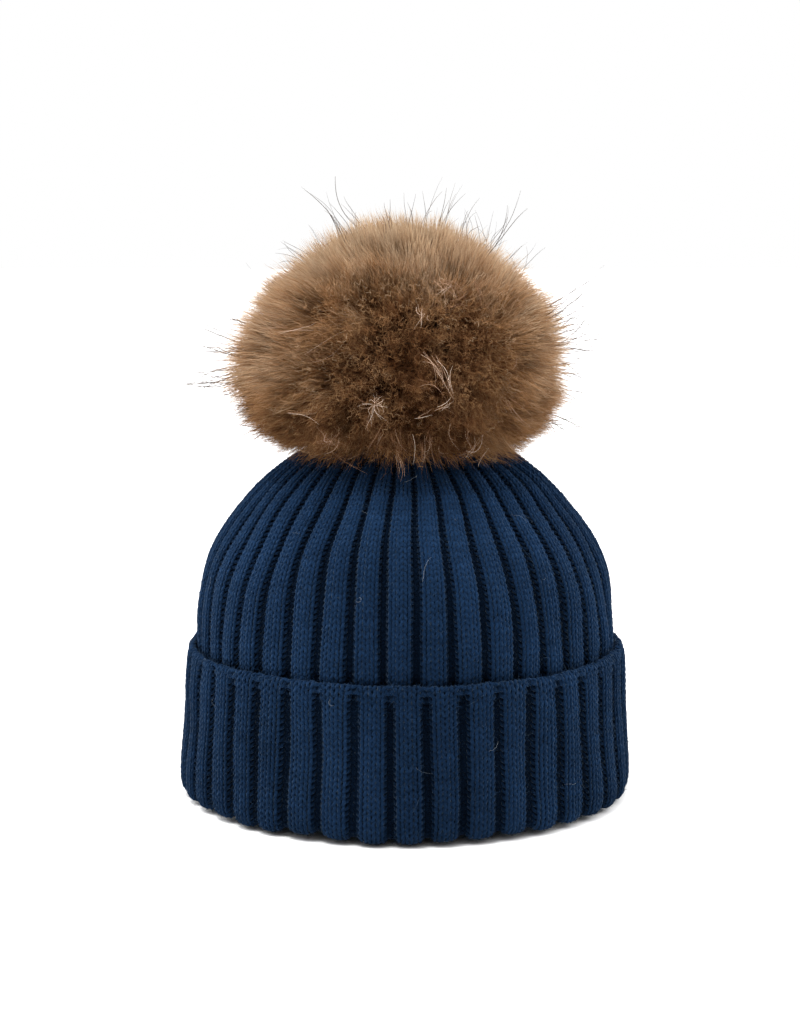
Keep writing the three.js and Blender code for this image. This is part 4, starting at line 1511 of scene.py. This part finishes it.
def wisps(rand):
    """Cream and red-brown hairs lying on the coat in wisps."""
    start, end, bow, shade, radii = [], [], [], [], []

    def wisp(foot, tip, bend, count, spread, pale, radius=WISP):
        foot, tip = np.array(foot, float), np.array(tip, float)
        for _ in range(round(count * 1.1)):
            cut = rand.uniform(0, 0.35)
            start.append(foot + (tip - foot) * cut * rand.uniform() + spread * rand.normal(size=3))
            scatter = spread * 1.3 * rand.normal(size=3) * np.array([1, 0.5, 1])
            end.append(tip - (tip - foot) * cut + scatter)
            bow.append(bend * rand.uniform(0.2, 2.4) + 0.8 * rand.normal())
            shade.append(np.clip(pale - 0.06 + 0.15 * rand.normal(), 0.3, 0.95))
            radii.append(radius * rand.uniform(0.55, 1.2))

    star = front(*STAR, 0.985)
    for turn, far in STAR_RAYS:
        x, z = math.cos(turn * DEG) * far, math.sin(turn * DEG) * far
        tip = front(STAR[0] + x, STAR[1] + z, 1.05)
        wisp(star, tip, bend=0.25, count=2, spread=0.28, pale=0.95, radius=0.05)
    for foot_x, foot_z, tip_x, tip_z, factor, *look in FRONT_WISPS:
        wisp(front(foot_x, foot_z), front(tip_x, tip_z, factor), *look)
    for foot_x, foot_z, x, z, bend, count in HANGING_WISPS:
        foot = front(foot_x, max(foot_z, 147.0), 0.98)
        y = -math.sqrt(max(54.5**2 - x**2, 1)) * (1 + 0.012 * max(0, 143 - z))
        wisp(foot, (x, y, z), bend, count, spread=0.9, pale=rand.uniform(0.5, 0.8))
    # a few round the back
    for aim in direction(*fibonacci(46, 55, 0.6)):
        if aim[1] < 0.05 or aim[2] < -0.5:
            continue
        side = unit(np.cross(aim, rand.normal(size=3)))
        foot = COAT_MIDDLE + aim * reach(aim)
        tip = foot + side * rand.uniform(5, 13) + aim * rand.uniform(0, 2.5)
        bend, count = rand.normal() * 1.6, int(rand.integers(3, 8))
        wisp(foot, tip, bend, count, spread=0.9, pale=rand.uniform(0.55, 0.92))
    lines = off_crown(curves(start, end, bow, 10, rand, kink=0.9), rand)
    hairs("wisps", lines, np.array(radii), shade, 56)


guard_rand = rng(51)
guard_hairs(guard_rand)
straggling_hairs(guard_rand)
wisps(guard_rand)

# ------------------------------------------------------------------------------------------
# Small parts: threads, patch, seam, label, skin, wadding and the press stud
# ------------------------------------------------------------------------------------------
STITCH_IN, STITCH_OUT = 5.3, 8.8  # how far from the axis the stud's stitches run
HOLE_TURNS = [(i + 0.5) * math.pi / 2 for i in range(4)]
NAVY_THREAD = thread_material("navy_thread", (0.012, 0.026, 0.058))
BROWN_THREAD = thread_material("brown_thread", (0.085, 0.045, 0.022))


def cord_ring(name, radius, z, thread, turns, wobble, seed, material, part, dips=0, dip=0.0):
    """A cord lying in a ring: two plies twisted round each other, each a closed loop."""
    count = turns * 10
    angle = np.arange(count) / count * TAU
    bumps = Noise(seed, 9)
    drift = wobble * bumps(around(radius, 0.0, angle))
    rise = 0.5 * wobble * bumps(around(radius, 30.0, angle))
    lines = []
    for ply in range(2):
        twist = angle * turns + TAU * ply / 2
        ply_radius = radius + drift + 0.5 * thread * np.cos(twist)
        ply_z = z + rise + 0.5 * thread * np.sin(twist) + dip * (np.cos(dips * angle) - 1)
        lines.append(around(ply_radius, ply_z, angle))
    lines = np.stack(lines)
    up = np.broadcast_to(np.array([0.0, 0.0, 1.0]), lines.shape)
    closed_tubes(name, lines, thread * 0.56, up, 8, material, part)


def sewn_loops(name, inner, outer, over, behind, seed, material, part):
    """The stitches of a press stud: three turns of thread through each of its four holes."""
    rand = rng(seed)
    count = 40
    turn = np.arange(count) / count * TAU
    cosine, sine = np.cos(turn), np.sin(turn)
    radius = (inner + outer) / 2 + (outer - inner) / 2 * np.sign(cosine) * np.abs(cosine) ** 0.55
    lines, ups = [], []
    for hole in HOLE_TURNS:
        radial = np.array([math.cos(hole), math.sin(hole), 0.0])
        beside = np.array([-math.sin(hole), math.cos(hole), 0.0])
        for k in range(3):
            off = (k - 1) * 0.27 + 0.03 * rand.normal()
            half = (over - behind) / 2 * (1 + 0.03 * (k == 1))
            z = (over + behind) / 2 + half * np.sign(sine) * np.abs(sine) ** 0.45
            sag = 0.10 * rand.normal() * np.sin(turn * 2 + rand.uniform(0, 6))
            across = radial * radius[:, None] + beside * (off + sag)[:, None]
            lines.append(across + np.array([0, 0, 1.0]) * z[:, None])
            ups.append(np.broadcast_to(beside, (count, 3)))
    closed_tubes(name, np.stack(lines), 0.19, np.stack(ups), 8, material, part)


def threads():
    cord_ring(
        "gather_cord", RING_RADIUS - 0.5, (RING_BOTTOM + RING_TOP) / 2, thread=0.42, turns=46,
        wobble=0.12, seed=81, material=NAVY_THREAD, part=GATHER, dips=20, dip=0.5,
    )
    cord_ring(
        "pelt_cord", 3.9, 159.2, thread=0.34, turns=20, wobble=0.05, seed=82,
        material=BROWN_THREAD, part=DRAWSTRING,
    )
    sewn_loops(
        "stud_stitches", STITCH_IN, STITCH_OUT, over=153.4, behind=146.6, seed=83,
        material=NAVY_THREAD, part=STUD_THREAD,
    )
    sewn_loops(
        "socket_stitches", 5.9, 8.8, over=159.15, behind=155.8, seed=84,
        material=BROWN_THREAD, part=SOCKET_THREAD,
    )


def felt_patch():
    """The round of felt behind the press stud: a soft edge, and dimples at the thread."""
    top, low, edge = PATCH_TOP, PATCH_BOTTOM, PATCH_RADIUS
    radii = np.r_[np.linspace(0.6, edge - 0.7, 26), edge - 0.35, edge - 0.08]
    rounding = 0.28 * smooth((radii - edge + 0.9) / 0.9)
    profile = [
        *zip(radii, top - rounding),
        (edge, (top + low) / 2),
        *zip(radii[::-1], low + rounding[::-1]),
    ]
    rows = lathe(profile, 128)
    bumps, small = Noise(85, 7), Noise(86, 2.2)
    half = len(radii)
    sign = np.r_[np.ones(half), 0, -np.ones(half)][:, None]
    wave = 0.10 * bumps(rows) + 0.05 * small(rows)
    holes = np.zeros(rows.shape[:2])
    for turn in HOLE_TURNS:
        for radius in (STITCH_IN, STITCH_OUT):
            hole = np.array([radius * math.cos(turn), radius * math.sin(turn)])
            holes += np.exp(-np.sum((rows[..., :2] - hole) ** 2, -1) / 0.9)
    rows[..., 2] += wave - sign * 0.42 * np.clip(holes, 0, 1) * 0.8
    at_rim = np.hypot(rows[..., 0], rows[..., 1]) > edge - 1
    rows[..., :2] *= (1 + 0.006 * bumps(rows * 1.3) * at_rim)[..., None]
    closed_lathe("felt_patch", rows, [0, 0, top], [0, 0, low], navy_felt(), FELT)


def felt_fibres():
    """Loose fibres on both faces of the felt, most of them on the lower one."""
    rand = rng(87)
    count = 3400
    angle = rand.uniform(0, TAU, count)
    radius = PATCH_RADIUS * np.sqrt(rand.uniform(0, 1, count))
    face = np.where(rand.uniform(size=count) < 0.25, 1.0, -1.0)
    top, low = PATCH_TOP - 0.05, PATCH_BOTTOM + 0.05
    z = np.where(face > 0, top, low)
    foot = np.stack([radius * np.cos(angle), radius * np.sin(angle), z], -1)
    x, y = rand.normal(size=count), rand.normal(size=count)
    aim = unit(np.stack([x, y, face * rand.uniform(0.0, 0.5, count)], -1))
    along = steps(4)
    bend = random_units(rand, count) * np.array([1, 1, 0.2])
    course = aim[:, None] * along + 0.4 * bend[:, None] * along**2
    lines = foot[:, None] + rand.uniform(0.5, 2.2, (count, 1, 1)) * course
    above = np.clip(lines[..., 2], top, PATCH_TOP + 0.5)
    below = np.clip(lines[..., 2], PATCH_BOTTOM - 0.6, low)
    lines[..., 2] = np.where(face[:, None] > 0, above, below)
    roll = random_units(rand, count)
    attributes = {"shade": rand.beta(2, 3, (count, 1))}
    ribbons("felt_fibres", lines, np.full((count, 4), 0.07), roll, FLUFF, FELT, attributes)


def back_seam():
    """The seam allowance down the inside of the back, with an overlocking yarn round it."""
    # (distance from the axis towards +Y, height)
    path = Path([
        (83.55, 5.6), (83.7, 30.0), (83.75, 66.0), (82.87, 78.4), (80.0, 93.6),
        (76.2, 103.7), (69.1, 114.1), (57.9, 126.3), (47.6, 134.9), (35.8, 141.0),
    ])
    bumps = Noise(91, 8)

    def drift(arc, y=0.0):
        return bumps(np.stack([arc, arc * 0 + y, arc * 0], -1))

    # the folded edges of the two halves, as two rolls side by side
    arc = np.linspace(0.3, path.length - 0.3, 230)
    radius, z, out_r, out_z = path.at(arc)
    middle = np.stack([0.25 * drift(arc), radius, z], -1)
    normal = np.stack([arc * 0, out_r, out_z], -1)
    phase = arc * TAU / 2.4
    lines, radii = [], []
    for side in (-1, 1):
        roll = 0.12 * np.sin(phase + side)
        lines.append(middle + np.array([1.0, 0, 0]) * (side * 0.86) + normal * roll[:, None])
        radii.append(0.92 + 0.10 * np.sin(phase + 1.3 * side) + 0.05 * drift(arc, 9 * side))
    attributes = {"tint": 0.85, "yu": arc, "yc": 1.0, "ys": 0.0}
    normals = np.stack([normal, normal])
    radii = np.stack(radii) * 0.74
    open_tubes("seam_edges", np.stack(lines), radii, normals, 10, WOOL, SEAM, attributes)

    turns = int(path.length / 2.6)
    count = turns * 12
    arc = np.linspace(0.6, path.length - 0.6, count)
    radius, z, out_r, out_z = path.at(arc)
    turn = np.linspace(0, turns * TAU, count)
    cosine, sine = np.cos(turn), np.sin(turn)
    side = 1.95 * np.sign(cosine) * np.abs(cosine) ** 0.7
    lift = 0.86 * np.sign(sine) * np.abs(sine) ** 0.8
    line = np.stack([side + 0.25 * drift(arc), radius + lift * out_r, z + lift * out_z], -1)
    up = np.stack([arc * 0, out_r, out_z], -1)
    radii = np.full((1, count), 0.30)
    open_tubes("overlock_yarn", line[None], radii, up[None], 7, NAVY_THREAD, SEAM)


def care_label():
    """A blank woven ribbon folded double, with a fine corded edge down each side."""
    y, half_width = (LABEL_LOW[1] + LABEL_HIGH[1]) / 2, (LABEL_HIGH[0] - LABEL_LOW[0]) / 2
    half, gap = 0.12, 0.26  # half the ribbon's thickness, half the distance of its layers
    top, low = LABEL_HIGH[2] - 0.1, LABEL_LOW[2] + 0.45
    bend = Noise(95, 26)

    def curl(points):
        """How far the hanging ribbon bends along Y, at points on its middle plane."""
        free = smooth((top - points[..., 2]) / 30)
        return 0.34 * bend(points) * free, 0.18 * free * (points[..., 0] / half_width) ** 2

    fold = np.linspace(0.5, math.pi - 0.5, 5)
    line = np.array([
        *((gap, z) for z in np.linspace(top, low, 34)),
        *((gap * math.cos(turn), low - 0.3 * math.sin(turn)) for turn in fold),
        *((-gap, z) for z in np.linspace(low, top, 34)),
    ])
    ahead = unit(np.gradient(line, axis=0))
    normal = np.stack([ahead[:, 1], -ahead[:, 0]], -1)
    outline = np.concatenate([line + normal * half, (line - normal * half)[::-1]])
    cols, around_count = 46, len(outline)
    x = np.linspace(-half_width + 0.05, half_width - 0.05, cols)[:, None]
    x, off, z = np.broadcast_arrays(x, outline[:, 0], outline[:, 1])
    points = np.stack([x, y + off, z], -1)
    wave, cup = curl(np.stack([x, np.full(x.shape, y), z], -1))
    points[..., 1] += wave - cup
    # close the two side edges across the thickness of the ribbon
    k = np.arange(len(line) - 1)
    left = np.stack([k, around_count - 1 - k, around_count - 2 - k, k + 1], -1)
    right = left[:, ::-1] + (cols - 1) * around_count
    quads = np.concatenate([ring_quads(1, cols, around_count, False), left, right])
    material = label_ribbon()
    build("ribbon_label", points.reshape(-1, 3), material, LABEL, quads)

    z = np.linspace(top, low + 0.3, 90)
    lines = []
    for side in (-1, 1):
        for layer in (-gap, gap):
            edge = np.stack([np.full(90, side * (half_width - 0.35)), np.full(90, y), z], -1)
            wave, cup = curl(edge)
            edge[:, 1] = y + layer + np.sign(layer) * half + wave - cup
            lines.append(edge)
    lines = np.stack(lines)
    up = np.broadcast_to(np.array([0, 1.0, 0]), lines.shape)
    open_tubes("label_selvedge", lines, np.full(lines.shape[:2], 0.09), up, 6, material, LABEL)


# Outside of the skin as (radius, height above its bottom)
PELT_OUTLINE = [
    (10, 0), (18, 2.9), (24.6, 9.4), (27.8, 18.4), (28.0, 27.6), (25.4, 37.4), (18.6, 46.2),
    (9.6, 51.4), (0, 53),
]
SKIN = 1.2  # thickness of the skin
FILL_GAP = 1.7  # from the outside of the skin to the wadding


def gathered_skin():
    """The skin that carries the hair, with pleats drawn in by the cord at its mouth."""
    bottom, top = PELT_BOTTOM, PELT_BOTTOM + PELT_OUTLINE[-1][1]
    path = Path([(radius, bottom + z) for radius, z in PELT_OUTLINE])
    radius, z, out_r, out_z = path.at(np.linspace(0, path.length, 60))
    inner_radius, inner_z = np.maximum(radius - SKIN * out_r, 0.2), z - SKIN * out_z
    mouth = np.linspace(10, 2.8, 14)[1:]
    profile = [
        *zip(radius[::-1][1:], z[::-1][1:]),
        *((inward, bottom) for inward in mouth),
        (2.7, bottom + SKIN / 2),
        *((inward, bottom + SKIN) for inward in mouth[::-1]),
        *zip(inner_radius[1:-1], inner_z[1:-1]),
    ]
    rows = lathe(profile, 136)
    radius = np.hypot(rows[..., 0], rows[..., 1])
    turn = np.arctan2(rows[..., 0], -rows[..., 1])
    pleat = np.cos(17 * turn + 0.8 * np.sin(3 * turn))
    pleat = pleat * np.exp(-np.clip(radius - 3.2, 0, None) / 5.5) * (rows[..., 2] < bottom + 12)
    hide = Noise(97, 11)(rows) * 0.22
    at_mouth = np.where(rows[..., 2] < bottom + 3, 1, 0)
    rows[..., 2] += 0.26 * pleat * smooth((radius - 2.6) / 1.2) * at_mouth
    rows = rows + unit(rows - BALL) * hide[..., None] * smooth((radius - 11) / 6)[..., None]
    closed_lathe("gathered_skin", rows, [0, 0, top], [0, 0, top - SKIN], pelt_leather(), PELT)


def wadding():
    """The wadding ball inside the skin, and the fibres on it."""
    stations = [
        (radius - FILL_GAP * (radius > 0), PELT_BOTTOM + z + FILL_GAP * ((i == 0) - (radius == 0)))
        for i, (radius, z) in enumerate(PELT_OUTLINE)
    ]
    path = Path(stations)
    radius, z, _, _ = path.at(np.linspace(0, path.length, 56))
    z = np.maximum(z, FILL_BOTTOM)
    profile = [
        *zip(radius[::-1][1:], z[::-1][1:]),
        *((inward, FILL_BOTTOM) for inward in np.linspace(radius[0], 1.0, 9)[1:]),
    ]
    rows = lathe(profile, 112)
    swell = 0.55 * Noise(98, 12)(rows) + 0.35 * Noise(99, 4.5)(rows) - 0.7
    rows = rows + unit(rows - BALL) * swell[..., None]
    material = wadding_material()
    top, bottom = [0, 0, rows[0, :, 2].mean() + 0.1], [0, 0, FILL_BOTTOM + 0.1]
    closed_lathe("wadding_ball", rows, top, bottom, material, WADDING)

    rand = rng(100)
    count = 2200
    foot = rows.reshape(-1, 3)[rand.integers(0, rows.shape[0] * rows.shape[1], count)]
    out = unit(foot - BALL)
    aim = unit(np.cross(out, rand.normal(size=(count, 3))) + 0.1 * out)
    along = steps(5)
    bend = np.cross(out, aim) * rand.normal(size=(count, 1)) * 0.8 - out * 0.2
    course = aim[:, None] * along + 0.5 * bend[:, None] * along**2
    lines = (foot - out * 0.05)[:, None] + rand.uniform(2, 7, (count, 1, 1)) * course
    ribbons("wadding_fibres", lines, np.full((count, 5), 0.07), out, material, WADDING)


def metal_parts():
    """The press stud keeps its CAD shape, with rounded edges and a plated finish."""
    nickel, wire = snap_nickel(), spring_wire()
    sharp = math.radians(34)
    # node, material, slot, width of the rounded edges in metres
    for name, material, slot, edge in (
        ("hat_snap_stud", nickel, "snap_nickel", 0.00012),
        ("pom_snap_socket", nickel, "snap_nickel", 0.00010),
        ("snap_spring", wire, "spring_wire", 0.0),
    ):
        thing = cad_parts[name]
        thing.data.materials.clear()
        thing.data.materials.append(material)
        thing.data.shade_smooth()
        thing.data.set_sharp_from_angle(angle=sharp)
        if edge:
            bevel = thing.modifiers.new("edge", "BEVEL")
            bevel.width, bevel.segments = edge, 2
            bevel.limit_method, bevel.angle_limit = "ANGLE", sharp
            bevel.harden_normals = True


threads()
felt_patch()
felt_fibres()
back_seam()
care_label()
gathered_skin()
wadding()
metal_parts()


# ------------------------------------------------------------------------------------------
# Stage, light and camera, in metres
# ------------------------------------------------------------------------------------------
def add_object(name, data):
    thing = bpy.data.objects.new(name, data)
    bpy.context.scene.collection.objects.link(thing)
    return thing


def add_floor():
    mesh = bpy.data.meshes.new("floor")
    corners = [(-4, -4, 0), (4, -4, 0), (4, 4, 0), (-4, 4, 0)]
    mesh.from_pydata(corners, [], [(0, 1, 2, 3)])
    shader = Shader("floor")
    shader.set(Base_Color=(0.86, 0.86, 0.86), Roughness=0.9)
    mesh.materials.append(shader.material)
    floor = add_object("floor", mesh)
    floor.location.z = -0.0006


def add_world():
    """Soft room light: dim from the camera's side, bright from the sides, above and behind."""
    world = bpy.data.worlds.new("world")
    bpy.context.scene.world = world
    world.use_nodes = True
    nodes, link = world.node_tree.nodes, world.node_tree.links.new
    split = nodes.new("ShaderNodeSeparateXYZ")
    link(nodes.new("ShaderNodeTexCoord").outputs["Generated"], split.inputs[0])
    level = nodes.new("ShaderNodeMath")
    level.operation = "MULTIPLY"
    # axis, the range it runs over, the brightness at each end
    ranges = (("Y", -0.95, 0.35, 0.20, 1.15), ("Z", -0.1, 0.9, 0.50, 3.0))
    for i, (axis, *limits) in enumerate(ranges):
        remap = nodes.new("ShaderNodeMapRange")
        remap.interpolation_type = "SMOOTHSTEP"
        for socket, value in enumerate(limits, 1):
            remap.inputs[socket].default_value = value
        link(split.outputs[axis], remap.inputs[0])
        link(remap.outputs[0], level.inputs[i])
    # the camera itself sees plain white
    seen = nodes.new("ShaderNodeMix")
    link(nodes.new("ShaderNodeLightPath").outputs["Is Camera Ray"], seen.inputs[0])
    link(level.outputs[0], seen.inputs[2])
    seen.inputs[3].default_value = 1.0
    background = nodes["Background"]
    link(seen.outputs[0], background.inputs[1])
    background.inputs[0].default_value = (1, 1, 1, 1)


def add_light(name, place, target, size, power):
    light = bpy.data.lights.new(name, "AREA")
    light.shape = "DISK"
    light.size, light.energy, light.color = size, power, (1, 1, 1)
    lamp = add_object(name, light)
    lamp.location = place
    aim = Vector(np.array(target) - np.array(place))
    lamp.rotation_euler = aim.to_track_quat("-Z", "Y").to_euler()


def add_camera():
    data = bpy.data.cameras.new("camera")
    camera = add_object("camera", data)
    data.lens = 84.94
    data.sensor_width = 36
    data.shift_x = -0.00537109375
    data.clip_start = 0.05
    camera.location = (0, -1.0, 0.273)
    camera.rotation_euler = (math.radians(90 - 8.87), 0, 0)
    bpy.context.scene.camera = camera
    bpy.context.scene.view_settings.view_transform = "Standard"


add_floor()
add_world()
add_light("key", (-0.35, -0.35, 1.7), target=(0, 0, 0.14), size=0.9, power=26)
add_light("side_left", (-1.3, 0.35, 0.8), target=(0, 0, 0.15), size=0.8, power=10)
add_light("side_right", (1.3, 0.35, 0.8), target=(0, 0, 0.15), size=0.8, power=10)
add_camera()
